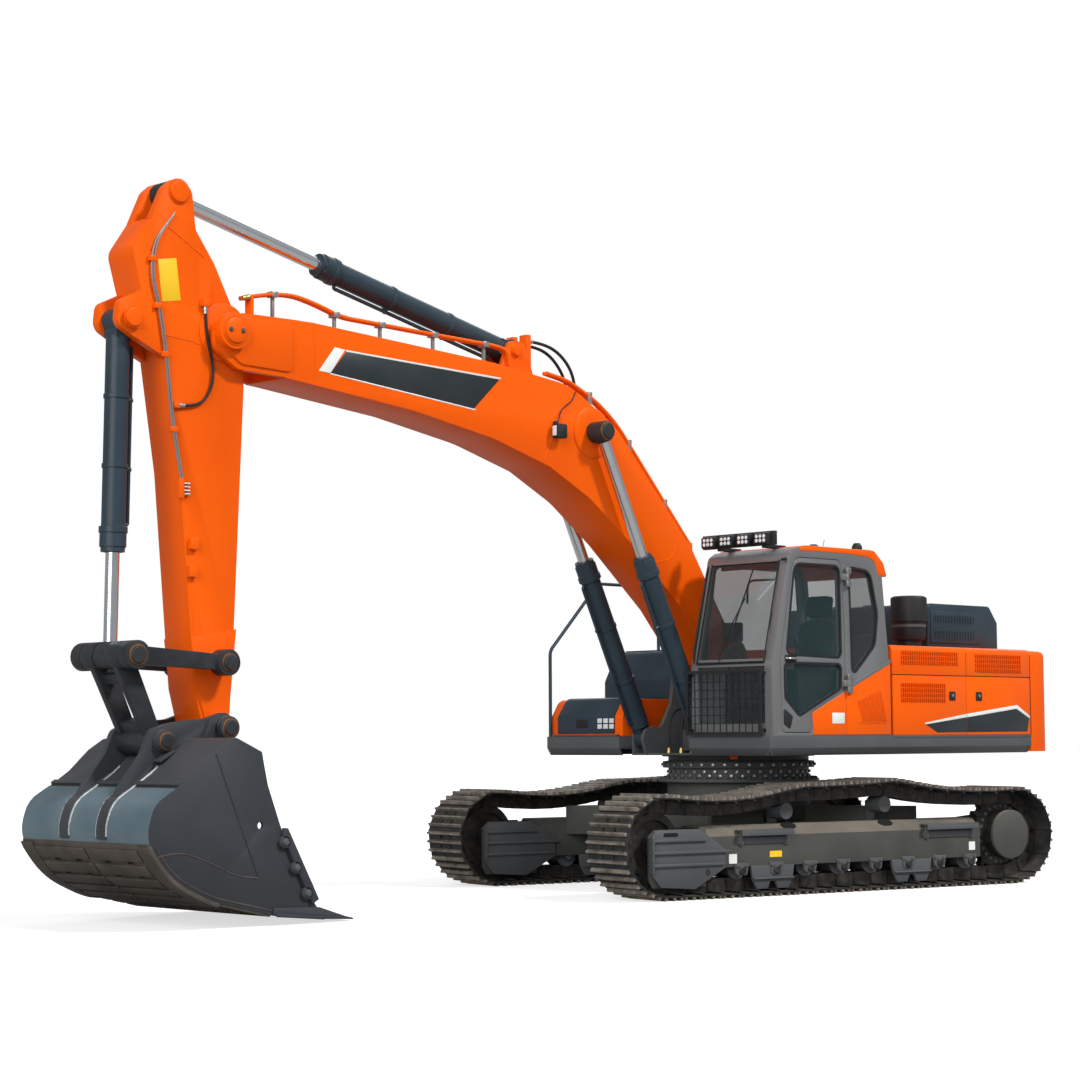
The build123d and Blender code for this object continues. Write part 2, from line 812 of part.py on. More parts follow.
def right_covers():
    """Fixed panels on the right side, below the belt line."""
    y_from = -side_y
    low, high = deck_top_z, belt_line_z
    return block(house_rear_x, cover_front_x - cover_wall, y_from, y_from + cover_wall, low, high)


def tanks():
    """Fuel and hydraulic tanks on the right, ahead of the machinery house."""
    body = side_plate([
        (cover_front_x, deck_top_z),
        (cover_front_x, cover_top_z, 60),
        (180, cover_top_z, 120),
        (360, 2000, 80),
        (360, deck_top_z),
    ], -side_y, -560)
    inner = side_plate([
        (cover_front_x + cover_wall, deck_top_z),
        (cover_front_x + cover_wall, cover_top_z - cover_wall),
        (170, cover_top_z - cover_wall),
        (360 - cover_wall, 1985),
        (360 - cover_wall, deck_top_z),
    ], -side_y + cover_wall, -560 - cover_wall)
    return body - inner


def engine_hood():
    """Raised hood over the engine."""
    base_z = cover_top_z + seat_gap
    top_z = 2770
    outer = side_plate([
        (-1700, base_z), (-1720, top_z, 60), (-2760, top_z, 60), (-2900, 2600), (-2900, base_z),
    ], -1050, 1050)
    inner = side_plate([
        (-1720, base_z), (-1740, top_z - 20), (-2752, top_z - 20), (-2880, 2593), (-2880, base_z),
    ], -1030, 1030)
    return outer - inner


def engine_block():
    """Engine as one block on the frame."""
    return block(-2560, -1500, -420, 420, deck_top_z + 60, 2130) + block(-2450, -1600, -300, 300, deck_top_z, deck_top_z + 60)


def precleaner():
    """Air pre-cleaner drum on its stem."""
    drum = upright(-1350, 1090, 180, 2560, 2830)
    return drum + upright(-1350, 1090, 120, cover_top_z, 2560)


def toolbox():
    """Toolbox with its lid at the right front of the deck."""
    body = side_plate([
        (360, deck_top_z), (360, 1810), (1010, 1810, 120), (1120, 1640, 60), (1120, deck_top_z),
    ], -side_y, -deck_notch_y - 10)
    inner = side_plate([
        (360 + cover_wall, deck_top_z), (360 + cover_wall, 1810 - cover_wall), (990, 1810 - cover_wall),
        (1120 - cover_wall, 1620), (1120 - cover_wall, deck_top_z),
    ], -side_y + cover_wall, -deck_notch_y - 10 - cover_wall)
    return body - inner


def handrail():
    """Bent grab rail along the right side."""
    route = [(1150, deck_top_z), (1150, 2300), (460, 3000), (-200, 3000), (-430, 2700), (-430, cover_top_z)]
    y = -side_y + 20
    path = FilletPolyline(*[(x, y, z) for x, z in route], radius=120)
    start = Plane(origin=path @ 0, z_dir=path % 0)
    return sweep(start * Circle(17), path=path)


def light_bar():
    """Lamp bar over the windscreen."""
    y_from, y_to = 500, 1390
    bar = block(1000, 1040, y_from, y_to, 3195, 3330)
    brackets = block(700, 1000, y_from + 150, y_from + 190, cab_roof_z, 3215)
    brackets += block(700, 1000, y_to - 190, y_to - 150, cab_roof_z, 3215)
    lamps = []
    for i in range(4):
        y = y_from + 120 + i * (y_to - y_from - 240) / 3
        lamps.append(block(1040, 1110, y - 80, y + 80, 3210, 3315))
    return joined([bar, brackets] + lamps)


def front_guard():
    """Mesh guard before the lower windscreen."""
    y_from, y_to = deck_notch_y, 1410
    x = cab_front_x + 60
    frame = block(x, x + 20, y_from, y_to, 1450, 2050)
    frame -= block(x, x + 20, y_from + 30, y_to - 30, 1480, 2020)
    bars = []
    count = 11
    for i in range(1, count):
        y = y_from + 30 + i * (y_to - y_from - 60) / count
        bars.append(block(x + 6, x + 14, y - 4, y + 4, 1480, 2020))
    rows = 7
    for i in range(1, rows):
        z = 1480 + i * 540 / rows
        bars.append(block(x + 6, x + 14, y_from + 30, y_to - 30, z - 4, z + 4))
    for y in (y_from + 15, y_to - 15):
        bars.append(block(cab_front_x, x, y - 12, y + 12, 2000, 2030))
        bars.append(block(cab_front_x, x, y - 12, y + 12, 1480, 1510))
    return joined([frame] + bars)


# Cylinders
def along(base, tip):
    """Plane at the base whose Z runs to the tip, with its X in the X-Z plane."""
    direction = Vector(tip[0] - base[0], 0, tip[1] - base[1]).normalized()
    return Plane(origin=(base[0], 0, base[1]), x_dir=(0, 1, 0), z_dir=(direction.X, 0, direction.Z))


def barrel(base, tip, y, radius, length, rod_radius, eye_half, base_pin):
    """Cylinder barrel from its base eye to its gland, bored for the rod and the base pin."""
    place = along(base, tip)
    shift = Pos(y, 0, 0)
    bore = rod_radius + 18
    tube = Pos(0, 0, 130) * Cylinder(radius, length - 130, align=(Align.CENTER, Align.CENTER, Align.MIN))
    gland = Pos(0, 0, length - 190) * Cylinder(radius + 10, 150, align=(Align.CENTER, Align.CENTER, Align.MIN))
    neck = Pos(0, 0, 40) * Box(2 * eye_half, radius * 1.5, 100, align=(Align.CENTER, Align.CENTER, Align.MIN))
    eye = Rot(0, 90, 0) * Cylinder(radius * 1.05, 2 * eye_half)
    pin_hole = Rot(0, 90, 0) * Cylinder(base_pin + seat_gap, 2 * eye_half)
    hollow = Pos(0, 0, 160) * Cylinder(bore, length - 200, align=(Align.CENTER, Align.CENTER, Align.MIN))
    mouth = Pos(0, 0, length - 60) * Cylinder(rod_radius + seat_gap, 80, align=(Align.CENTER, Align.CENTER, Align.MIN))
    body = tube + gland + neck + eye - hollow - mouth - pin_hole
    return place * shift * body


def rod(base, tip, y, radius, length, eye_radius, eye_half):
    """Piston rod from its eye back into the barrel."""
    reach = math.dist(base, tip)
    place = along(base, tip)
    shaft = Pos(0, 0, reach - length) * Cylinder(radius, length, align=(Align.CENTER, Align.CENTER, Align.MIN))
    eye = Pos(0, 0, reach) * Rot(0, 90, 0) * Cylinder(eye_radius, 2 * eye_half)
    return place * Pos(y, 0, 0) * (shaft + eye)


boom_base = (boom_cylinder_base_x, boom_cylinder_base_z)
boom_pin = (boom_cylinder_pin_x, boom_cylinder_pin_z)
arm_base = (arm_cylinder_base_x, arm_cylinder_base_z)
arm_pin = (arm_cylinder_pin_x, arm_cylinder_pin_z)
bucket_base = (bucket_cylinder_base_x, bucket_cylinder_base_z)
bucket_pin = (bucket_cylinder_pin_x, bucket_cylinder_pin_z)


# Boom
boom_outline = [
    (boom_foot_x - 150, boom_foot_z + 30, 140),
    (boom_foot_x - 10, boom_foot_z - 165, 140),
    (boom_foot_x + 220, boom_foot_z - 30, 200),
    (1097, 2661),
    (1798, 3256),
    (2308, 3622, 900),
    (2827, 3882),
    (3511, 4080, 1500),
    (4447, 4244),
    (5751, 4382),
    (5850, 4390),
    (5790, 4880),
    (5564, 4880),
    (3507, 4758),
    (2572, 4650, 900),
    (1960, 4311, 700),
    (944, 3234),
]
nose_outline = [
    (5700, 4390),
    (boom_tip_x - 75, 4413, 90),
    (boom_tip_x + 150, 4560, 130),
    (boom_tip_x + 150, 4780, 130),
    (boom_tip_x - 120, 4876, 90),
    (5700, 4882),
]


def boom():
    """Welded boom: box section, nose fork, pin bosses and the arm cylinder's lugs."""
    face = place_outline(boom_outline)
    box_section = side_plate(face, -boom_half_width, boom_half_width)
    inner = offset(face, amount=-boom_flange_plate)
    half = boom_half_width - boom_side_plate
    box_section -= side_plate(inner, -half, half)
    fork = side_plate(nose_outline, arm_gap_y, boom_half_width)
    fork += cross_pin(boom_tip_x, boom_tip_z, nose_boss_radius, boom_half_width, nose_boss_y)
    cyl_boss = cross_pin(boom_cylinder_pin_x, boom_cylinder_pin_z, 150, boom_half_width, boom_half_width + 14)
    foot = cross_pin(boom_foot_x, boom_foot_z, 150, boom_half_width, girder_y - seat_gap)
    foot -= cross_pin(boom_foot_x, boom_foot_z, boom_foot_pin + 0.05, boom_half_width, girder_y)
    inside = arm_eye_half_width + 6
    lug = side_plate([
        (arm_cylinder_base_x - 260, 4600),
        (arm_cylinder_base_x - 110, arm_cylinder_base_z + 90, 80),
        (arm_cylinder_base_x + 80, arm_cylinder_base_z + 80, 80),
        (arm_cylinder_base_x + 210, 4700),
    ], inside, inside + 40)
    lug += cross_pin(arm_cylinder_base_x, arm_cylinder_base_z, cylinder_pin, 0, inside + 70)
    hose_bracket = block(2930, 2985, 40, inside + 40, 4690, 5090)
    shape = box_section + both_sides(fork + cyl_boss + foot + lug + hose_bracket)
    shape += block(2295, 2365, 60, 130, 4420, 4600)
    return shape + block(2215, 2285, -130, -60, 4380, 4560)


# Arm
arm_outline = [
    (arm_cylinder_pin_x - 160, arm_cylinder_pin_z - 280),
    (6500, 5260, 200),
    (6255, 4800, 300),
    (6200, 4300, 600),
    (6290, 2240),
    (6325, 1640),
    (bucket_pin_x - 20, bucket_pin_z - 140, 120),
    (bucket_pin_x + 140, bucket_pin_z - 20, 120),
    (6670, 1840),
    (6825, 3565),
    (6985, 4560, 300),
    (7180, 4900, 100),
    (7290, 5280, 120),
    (7100, 5560),
]


def arm():
    """Welded arm: box section, crest plates for its cylinder, lugs for the bucket's."""
    face = place_outline(arm_outline)
    body = side_plate(face, -arm_half_width, arm_half_width)
    inner = offset(face, amount=-arm_flange_plate)
    half = arm_half_width - arm_side_plate
    body -= side_plate(inner, -half, half)
    crest_inner = arm_eye_half_width + 6
    crest = side_plate([
        (arm_cylinder_pin_x - 165, arm_cylinder_pin_z - 285),
        (arm_cylinder_pin_x - 125, arm_cylinder_pin_z + 30, 110),
        (arm_cylinder_pin_x + 10, arm_cylinder_pin_z + 135, 110),
        (arm_cylinder_pin_x + 140, arm_cylinder_pin_z + 20, 110),
        (7110, 5550),
        (7000, 5450),
    ], crest_inner, arm_half_width)
    lug = side_plate([
        (7120, 5000),
        (bucket_cylinder_base_x + 110, bucket_cylinder_base_z + 130, 80),
        (bucket_cylinder_base_x + 130, bucket_cylinder_base_z - 60, 100),
        (bucket_cylinder_base_x - 20, bucket_cylinder_base_z - 140, 100),
        (6970, 4450),
    ], bucket_eye_half_width + 14, arm_half_width)
    lug += cross_pin(bucket_cylinder_base_x, bucket_cylinder_base_z, cylinder_pin, 0, arm_half_width + 30)
    tip = cross_pin(bucket_pin_x, bucket_pin_z, 125, arm_half_width, bucket_ear_inner_y - seat_gap)
    pivot = cross_pin(link_pivot_x, link_pivot_z, 95, arm_half_width, side_link_inner_y - 20 - seat_gap)
    boss = cross_pin(boom_tip_x, boom_tip_z, 140, arm_half_width, arm_gap_y - seat_gap)
    shape = body + both_sides(crest + lug + tip + pivot + boss)
    shape += block(6565, 6635, arm_half_width, 222, 4900, 4960)
    return shape + block(6860, 6905, arm_half_width, 222, 4055, 4105)


# Bucket linkage
def side_links():
    """Pair of side links between the arm and the cylinder's pin."""
    a = (link_pivot_x, link_pivot_z)
    c = (bucket_cylinder_pin_x, bucket_cylinder_pin_z)
    pieces = []
    bar = side_plate([
        (a[0], a[1] - 62), (c[0], c[1] - 72), (c[0], c[1] + 72), (a[0], a[1] + 62),
    ], side_link_inner_y, side_link_outer_y)
    bar += cross_pin(a[0], a[1], 105, side_link_inner_y - 20, side_link_end_y)
    bar += cross_pin(c[0], c[1], 112, side_link_inner_y - 4, side_link_end_y)
    pieces.append(bar)
    pieces.append(mirror(bar, about=Plane.XZ))
    return joined(pieces)


def h_link():
    """Bucket link with a long window, its ears at the top and one boss below."""
    c = (bucket_cylinder_pin_x, bucket_cylinder_pin_z)
    d = (h_link_pin_x, h_link_pin_z)
    ears = cross_pin(c[0], c[1], 112, h_link_ear_inner_y, h_link_ear_outer_y)
    leg = side_plate([
        (c[0] - 95, c[1] - 10), (c[0] + 85, c[1] - 50), (d[0] + 75, d[1]), (d[0] - 75, d[1] + 20),
    ], h_link_ear_inner_y, 190)
    boss = cross_pin(d[0], d[1], 105, 0, bucket_ear_inner_y - seat_gap)
    bridge = side_plate([
        (c[0] - 165, c[1] - 250), (c[0] - 35, c[1] - 285), (c[0] - 65, c[1] - 345), (c[0] - 190, c[1] - 315),
    ], 0, h_link_ear_inner_y)
    return both_sides(ears + leg + boss + bridge)


# Bucket
bucket_side = [
    (6528, 1341),
    (6796, 1462, 90),
    (6961, 1360),
    (7146, 1193),
    (7327, 1073, 200),
    (7520, 960, 230),
    (7600, 700, 420),
    (7360, 380, 700),
    (7000, 215, 900),
    (6400, 78, 900),
    (lip_joint_x, 40),
    (lip_joint_x, 104),
    (6029, 186),
    (6340, 753, 700),
    (6470, 1088),
]


def bucket_cavity():
    """Inside of the bucket, open towards the machine."""
    wall = bucket_shell_plate
    return [
        (6480, 1310 - wall),
        (6796 - 10, 1462 - wall - 10, 80),
        (6950, 1352 - wall),
        (7130, 1190 - wall),
        (7310, 1073 - wall, 180),
        (7490, 950 - wall, 210),
        (7572, 700, 400),
        (7345, 400, 680),
        (6990, 215 + wall, 880),
        (6400, 78 + wall, 880),
        (5900, 60 + wall),
        (5700, 700),
        (6200, 1310),
    ]


def bucket():
    """Bucket shell: side plates, wrapper, ears and pins."""
    outer = side_plate(bucket_side, -bucket_half_width, bucket_half_width)
    half = bucket_half_width - bucket_side_plate
    shell = outer - side_plate(bucket_cavity(), -half, half)
    ear = side_plate([
        (bucket_pin_x - 130, bucket_pin_z - 40, 90),
        (bucket_pin_x - 20, bucket_pin_z + 140, 110),
        (6640, 1600, 300),
        (6820, 1590, 200),
        (7000, 1560, 60),
        (7150, 1520, 80),
        (7230, 1330, 200),
        (7420, 1090),
        (7500, 960),
        (7440, 900),
        (6900, 1370),
        (6560, 1340),
    ], bucket_ear_inner_y, bucket_ear_inner_y + bucket_ear_plate)
    outer_y = bucket_ear_inner_y + bucket_ear_plate
    ear += cross_pin(bucket_pin_x, bucket_pin_z, 90, outer_y, outer_y + 60)
    ear += cross_pin(h_link_pin_x, h_link_pin_z, 80, outer_y, outer_y + 60)
    ears = both_sides(ear)
    ears -= side_plate(bucket_cavity(), -half, half)
    hole = cross_pin(shackle_hole_x, shackle_hole_z, shackle_hole_radius, half, bucket_half_width)
    return shell + ears - both_sides(hole)


def bucket_edge():
    """Straight lip plate with pointed corners."""
    section = [(lip_joint_x - seat_gap, 38), (5608, 9), (5620, 24), (lip_joint_x - seat_gap, 100)]
    return side_plate(section, -bucket_half_width, bucket_half_width)


# Hoses: each route's diameter and points, from one block's face to another's
def foot_route(y):
    """Arch from the valve block up and over to the floor of the boom's bracket."""
    return [
        (520, y, valve_block_top_z + seat_gap), (520, y, 1640), (640, y, 1720), (790, y, 1690), (870, y, 1560),
        (870, y, deck_bottom_z + 20 + seat_gap),
    ]


hose_routes = {
    "hose_arm": (arm_hose_diameter, [
        (6600, 197, 4900 - seat_gap), (6600, 197, 4700), (6500, 197, 4370), (6580, 197, 4150), (6720, 197, 4080),
        (6860 - seat_gap, 197, 4080),
    ]),
    "hose_lift_left": (lift_hose_diameter, [
        (2930 - seat_gap, 85, 5040), (2760, 85, 5040), (2560, 90, 4990), (2400, 95, 4860), (2330, 95, 4700),
        (2330, 95, 4600 + seat_gap),
    ]),
    "hose_lift_right": (lift_hose_diameter, [
        (2930 - seat_gap, -85, 5040), (2730, -85, 5040), (2500, -92, 5000), (2320, -95, 4850), (2250, -95, 4680),
        (2250, -95, 4560 + seat_gap),
    ]),
    "hose_foot_left": (foot_hose_diameter, foot_route(180)),
    "hose_foot_middle": (foot_hose_diameter, foot_route(40)),
    "hose_foot_right": (foot_hose_diameter, foot_route(-120)),
}


def hose(diameter, route):
    """Round hose along its route's straight runs and tangent bends."""
    points = [Vector(*p) for p in route]
    radii = []
    for before, here, after in zip(points, points[1:], points[2:]):
        turn = math.radians((here - before).get_angle(after - here))
        shorter = min((here - before).length, (after - here).length)
        radii.append(0.45 * shorter / math.tan(turn / 2))
    path = FilletPolyline(*points, radius=radii)
    start = Plane(origin=path @ 0, z_dir=path % 0)
    return sweep(start * Circle(diameter / 2), path=path), path.length, min(radii)


def save_hoses():
    """Write every hose and report its length and tightest bend."""
    for name, (diameter, route) in hose_routes.items():
        shape, length, tightest = hose(diameter, route)
        print(name, "length", round(length), "tightest bend", round(tightest / diameter, 1), "diameters")
        save(shape, name)


def main():
    os.makedirs("parts", exist_ok=True)
    pins = chain_pins()
    sides = {
        "track": track(pins),
        "idler": idler(),
        "sprocket": sprocket(),
        "rollers": rollers(pins),
        "track_frame": track_frame(),
    }
    for name, shape in sides.items():
        save(under_house(shape), f"{name}_left")
        save(under_house(mirror(shape, about=Plane.XZ)), f"{name}_right")
    save(under_house(carbody()), "carbody")
    save(under_house(bearing_half(turret_top_z, bearing_split_z)), "swing_bearing")
    save(house_frame(), "house_frame")
    save(counterweight(), "counterweight")
    save(cab_shell(), "cab_shell")
    save(cab_glass(), "cab_glass")
    save(cab_door(), "cab_door_frame")
    save(door_glass(), "cab_door_glass")
    save(seat(), "seat")
    save(consoles(), "consoles")
    save(machine_cover(), "machine_cover")
    save(side_panel(door_joint_x + panel_gap / 2, cover_front_x - panel_gap), "side_door_front_panel")
    save(side_panel(house_rear_x + panel_gap, door_joint_x - panel_gap / 2), "side_door_rear_panel")
    save(right_covers(), "right_covers")
    save(tanks(), "tanks")
    save(engine_hood(), "engine_hood_shell")
    save(engine_block(), "engine_block")
    save(precleaner(), "precleaner")
    save(toolbox(), "toolbox")
    save(handrail(), "handrail")
    save(light_bar(), "light_bar")
    save(front_guard(), "front_guard")
    save(boom(), "boom_frame")
    for side, name in ((1, "left"), (-1, "right")):
        y = side * boom_cylinder_y
        size = (boom_barrel_radius, boom_barrel_length, boom_rod_radius, boom_eye_half_width, cylinder_pin)
        save(barrel(boom_base, boom_pin, y, *size), f"boom_barrel_{name}")
        size = (boom_rod_radius, boom_rod_length, 95, 92)
        save(rod(boom_base, boom_pin, y, *size), f"boom_rod_{name}")
    size = (arm_barrel_radius, arm_barrel_length, arm_rod_radius, arm_eye_half_width, cylinder_pin)
    save(barrel(arm_base, arm_pin, 0, *size), "arm_barrel")
    save(rod(arm_base, arm_pin, 0, arm_rod_radius, arm_rod_length, 105, arm_eye_half_width), "arm_rod")
    size = (bucket_barrel_radius, bucket_barrel_length, bucket_rod_radius, bucket_eye_half_width, cylinder_pin)
    save(barrel(bucket_base, bucket_pin, 0, *size), "bucket_barrel")
    save(rod(bucket_base, bucket_pin, 0, bucket_rod_radius, bucket_rod_length, 105, bucket_eye_half_width), "bucket_rod")
    save(arm(), "arm_frame")
    save(side_links(), "side_links")
    save(h_link(), "h_link")
    save(bucket(), "bucket_shell")
    save(bucket_edge(), "bucket_edge")
    save_hoses()


if __name__ == "__main__":
    main()
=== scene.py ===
"""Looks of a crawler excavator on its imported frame: paint, shoes, louvres, pipes, lamps, trim."""

import logging
import math
from dataclasses import dataclass
from enum import Enum
from typing import Iterable, Sequence

import bmesh
import bpy
from mathutils import Matrix, Vector


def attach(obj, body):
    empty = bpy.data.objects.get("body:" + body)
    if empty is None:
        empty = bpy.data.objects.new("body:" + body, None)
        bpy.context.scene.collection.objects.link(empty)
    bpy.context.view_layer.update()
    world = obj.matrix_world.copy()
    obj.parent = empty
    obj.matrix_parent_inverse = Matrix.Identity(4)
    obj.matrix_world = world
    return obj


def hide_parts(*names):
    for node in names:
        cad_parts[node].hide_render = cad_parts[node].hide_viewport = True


Point = tuple[float, ...]
SIDEWAYS: Point = (0, 1, 0)
UP: Point = (0, 0, 1)
SINK = 0.001  # how deep the back of an applied piece lies in its wall
ARC_STEPS = 12  # segments of each rounded corner of the bucket's wrapper
log = logging.getLogger("excavator")
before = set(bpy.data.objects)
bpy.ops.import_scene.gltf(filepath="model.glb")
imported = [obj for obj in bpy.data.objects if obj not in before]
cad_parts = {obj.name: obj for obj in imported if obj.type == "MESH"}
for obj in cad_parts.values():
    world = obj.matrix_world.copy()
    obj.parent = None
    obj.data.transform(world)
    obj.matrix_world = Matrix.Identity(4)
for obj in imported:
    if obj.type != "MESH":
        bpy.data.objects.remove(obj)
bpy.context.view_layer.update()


class Side(Enum):
    """Side of the machine, as the sign of its Y."""

    LEFT = 1
    RIGHT = -1


class Across(Enum):
    """Axis that an outline is pushed along."""

    X = 0
    Y = 1
    Z = 2


@dataclass(frozen=True)
class Finish:
    """Procedural surface: two mottled tones, dust on upward faces, gloss variation and fine bump."""

    name: str
    slot: str
    color: Point
    mottled: Point
    roughness: float = 0.45
    metallic: float = 0.0
    coat: float = 0.0
    patch: float = 3.0
    dust: float = 0.0
    dust_color: Point = (0.30, 0.25, 0.19)
    bump: float = 0.05
    grain: float = 90.0
    streak: Point = (1.0, 1.0, 1.0)
    alpha: float = 1.0
    shine: float = 0.25

    def material(self) -> bpy.types.Material:
        """The finish's material, made once.

        Returns:
            The material of that name.
        """
        known = bpy.data.materials.get(self.name)
        if known:
            return known
        made = bpy.data.materials.new(self.name)
        made.use_nodes = True
        nodes, links = made.node_tree.nodes, made.node_tree.links
        shader = nodes["Principled BSDF"]
        place = nodes.new("ShaderNodeTexCoord")
        stretch = nodes.new("ShaderNodeMapping")
        stretch.inputs["Scale"].default_value = self.streak
        links.new(place.outputs["Object"], stretch.inputs["Vector"])
        cloud = self.noise(nodes, links, stretch, self.patch, 5.0)
        ramp = nodes.new("ShaderNodeValToRGB")
        ramp.color_ramp.elements[0].position = 0.35
        ramp.color_ramp.elements[1].position = 0.72
        ramp.color_ramp.elements[0].color = (*self.color, 1.0)
        ramp.color_ramp.elements[1].color = (*self.mottled, 1.0)
        links.new(cloud.outputs["Fac"], ramp.inputs["Fac"])
        tone = ramp.outputs["Color"]
        if self.dust > 0.0:
            tone = self.dusted(nodes, links, cloud, tone)
        links.new(tone, shader.inputs["Base Color"])
        gloss = nodes.new("ShaderNodeMapRange")
        gloss.inputs["To Min"].default_value = self.roughness * 0.8
        gloss.inputs["To Max"].default_value = min(1.0, self.roughness * 1.25)
        links.new(cloud.outputs["Fac"], gloss.inputs["Value"])
        links.new(gloss.outputs["Result"], shader.inputs["Roughness"])
        fine = self.noise(nodes, links, stretch, self.grain, 3.0)
        bump = nodes.new("ShaderNodeBump")
        bump.inputs["Strength"].default_value = self.bump
        bump.inputs["Distance"].default_value = 0.002
        links.new(fine.outputs["Fac"], bump.inputs["Height"])
        links.new(bump.outputs["Normal"], shader.inputs["Normal"])
        shader.inputs["Metallic"].default_value = self.metallic
        shader.inputs["Specular IOR Level"].default_value = self.shine
        shader.inputs["Coat Weight"].default_value = self.coat
        shader.inputs["Coat Roughness"].default_value = 0.12
        shader.inputs["Alpha"].default_value = self.alpha
        return made

    def noise(self, nodes, links, place, scale: float, detail: float):
        """Noise node of a given scale on the object's coordinates.

        Args:
            nodes: the tree's nodes.
            links: the tree's links.
            place: mapping node that gives the coordinates.
            scale: features per metre.
            detail: octaves.
        Returns:
            The noise node.
        """
        made = nodes.new("ShaderNodeTexNoise")
        made.inputs["Scale"].default_value = scale
        made.inputs["Detail"].default_value = detail
        links.new(place.outputs["Vector"], made.inputs["Vector"])
        return made

    def dusted(self, nodes, links, cloud, tone):
        """Dust laid over a tone where the surface looks up.

        Args:
            nodes: the tree's nodes.
            links: the tree's links.
            cloud: noise node that breaks the dust up.
            tone: colour socket under the dust.
        Returns:
            The dusted colour socket.
        """
        look = nodes.new("ShaderNodeNewGeometry")
        split = nodes.new("ShaderNodeSeparateXYZ")
        links.new(look.outputs["Normal"], split.inputs["Vector"])
        rise = nodes.new("ShaderNodeMapRange")
        rise.inputs["From Min"].default_value = 0.15
        rise.inputs["To Max"].default_value = self.dust
        links.new(split.outputs["Z"], rise.inputs["Value"])
        share = nodes.new("ShaderNodeMath")
        share.operation = "MULTIPLY"
        links.new(rise.outputs["Result"], share.inputs[0])
        links.new(cloud.outputs["Fac"], share.inputs[1])
        mix = nodes.new("ShaderNodeMix")
        mix.data_type = "RGBA"
        links.new(share.outputs["Value"], mix.inputs["Factor"])
        links.new(tone, mix.inputs[6])
        mix.inputs[7].default_value = (*self.dust_color, 1.0)
        return mix.outputs[2]


@dataclass(frozen=True)
class Pane(Finish):
    """Tinted see-through glass."""

    def material(self) -> bpy.types.Material:
        """The finish with the stronger reflection of glass."""
        made = super().material()
        shader = made.node_tree.nodes["Principled BSDF"]
        shader.inputs["Specular IOR Level"].default_value = 0.8
        return made


ORANGE = Finish(
    "orange_gloss", "orange_paint", (0.82, 0.105, 0.001), (0.77, 0.09, 0.001), 0.36, coat=0.03, patch=0.9,
    bump=0.02, shine=0.12,
)
SHADE = Finish("louvre_shade", "orange_paint", (0.34, 0.03, 0.001), (0.28, 0.024, 0.001), 0.6, patch=3)
GREY = Finish(
    "dark_grey_satin", "grey_paint", (0.066, 0.071, 0.075), (0.08, 0.085, 0.089), 0.45, patch=1.4, dust=0.2,
)
FRAME_GREY = Finish(
    "frame_grey_dusty", "grey_paint", (0.05, 0.052, 0.048), (0.068, 0.067, 0.06), 0.6, patch=2.5, dust=0.9,
    bump=0.15,
)
CAB_GREY = Finish(
    "cab_grey", "cab_grey", (0.03, 0.036, 0.042), (0.038, 0.045, 0.052), 0.4, coat=0.04, patch=1.1,
)
BLUE_GREY = Finish(
    "linkage_grey", "blue_grey_paint", (0.0205, 0.035, 0.048), (0.029, 0.047, 0.063), 0.4, coat=0.05,
    patch=1.7,
)
BUCKET = Finish(
    "bucket_grey", "bucket_steel", (0.03, 0.033, 0.038), (0.04, 0.045, 0.052), 0.42, patch=1.1, dust=0.1,
    bump=0.1,
)
# Bucket steel drawn lighter and bluish on the wrapper's upward back: painted sky light, not a paint of its
# own.
WRAP_PAINTED_SKYLIGHT = Finish(
    "bucket_back_blue", "bucket_steel", (0.075, 0.115, 0.14), (0.12, 0.16, 0.18), 0.4, patch=2.2, bump=0.08,
)
WEAR = Finish(
    "bucket_wear_plate", "bucket_steel", (0.05, 0.045, 0.04), (0.09, 0.075, 0.06), 0.5, patch=5, bump=0.2,
)
WELD = Finish("weld_bead", "bucket_steel", (0.3, 0.33, 0.34), (0.5, 0.52, 0.52), 0.5, patch=30, bump=0.4)
LINK = Finish(
    "linkage_dark", "blue_grey_paint", (0.018, 0.021, 0.024), (0.03, 0.033, 0.036), 0.45, patch=5, bump=0.15,
)
TRACK = Finish(
    "shoe_steel", "track_steel", (0.014, 0.018, 0.023), (0.045, 0.041, 0.036), 0.5, metallic=0.3, patch=7,
    dust=0.3, bump=0.3,
)
TIPS = Finish(
    "grouser_tips", "track_steel", (0.36, 0.32, 0.27), (0.14, 0.125, 0.11), 0.42, metallic=0.6, patch=9,
    bump=0.3,
)
CHAIN = Finish(
    "chain_steel", "track_steel", (0.03, 0.03, 0.03), (0.075, 0.066, 0.055), 0.45, metallic=0.6, patch=12,
    bump=0.3,
)
CHROME = Finish(
    "chromed_rod", "chrome_rod", (0.78, 0.82, 0.85), (0.7, 0.74, 0.77), 0.2, metallic=1.0, patch=5,
    bump=0.01,
)
STEEL = Finish("zinc_steel", "steel", (0.46, 0.46, 0.45), (0.36, 0.36, 0.35), 0.35, metallic=0.9, patch=8)
BRASS = Finish(
    "yellow_zinc", "bare_pipe", (0.55, 0.38, 0.14), (0.42, 0.28, 0.1), 0.35, metallic=0.85, patch=8,
)
RUST = Finish(
    "oiled_rust", "steel", (0.3, 0.12, 0.03), (0.12, 0.05, 0.02), 0.55, metallic=0.2, patch=16, bump=0.3,
)
BLACK = Finish(
    "black_moulding", "black_plastic", (0.012, 0.013, 0.014), (0.018, 0.019, 0.021), 0.5, patch=4, bump=0.2,
    grain=500,
)
RUBBER = Finish(
    "hose_rubber_black", "hose_rubber", (0.013, 0.014, 0.015), (0.02, 0.021, 0.023), 0.5, patch=12, bump=0.3,
    grain=400,
)
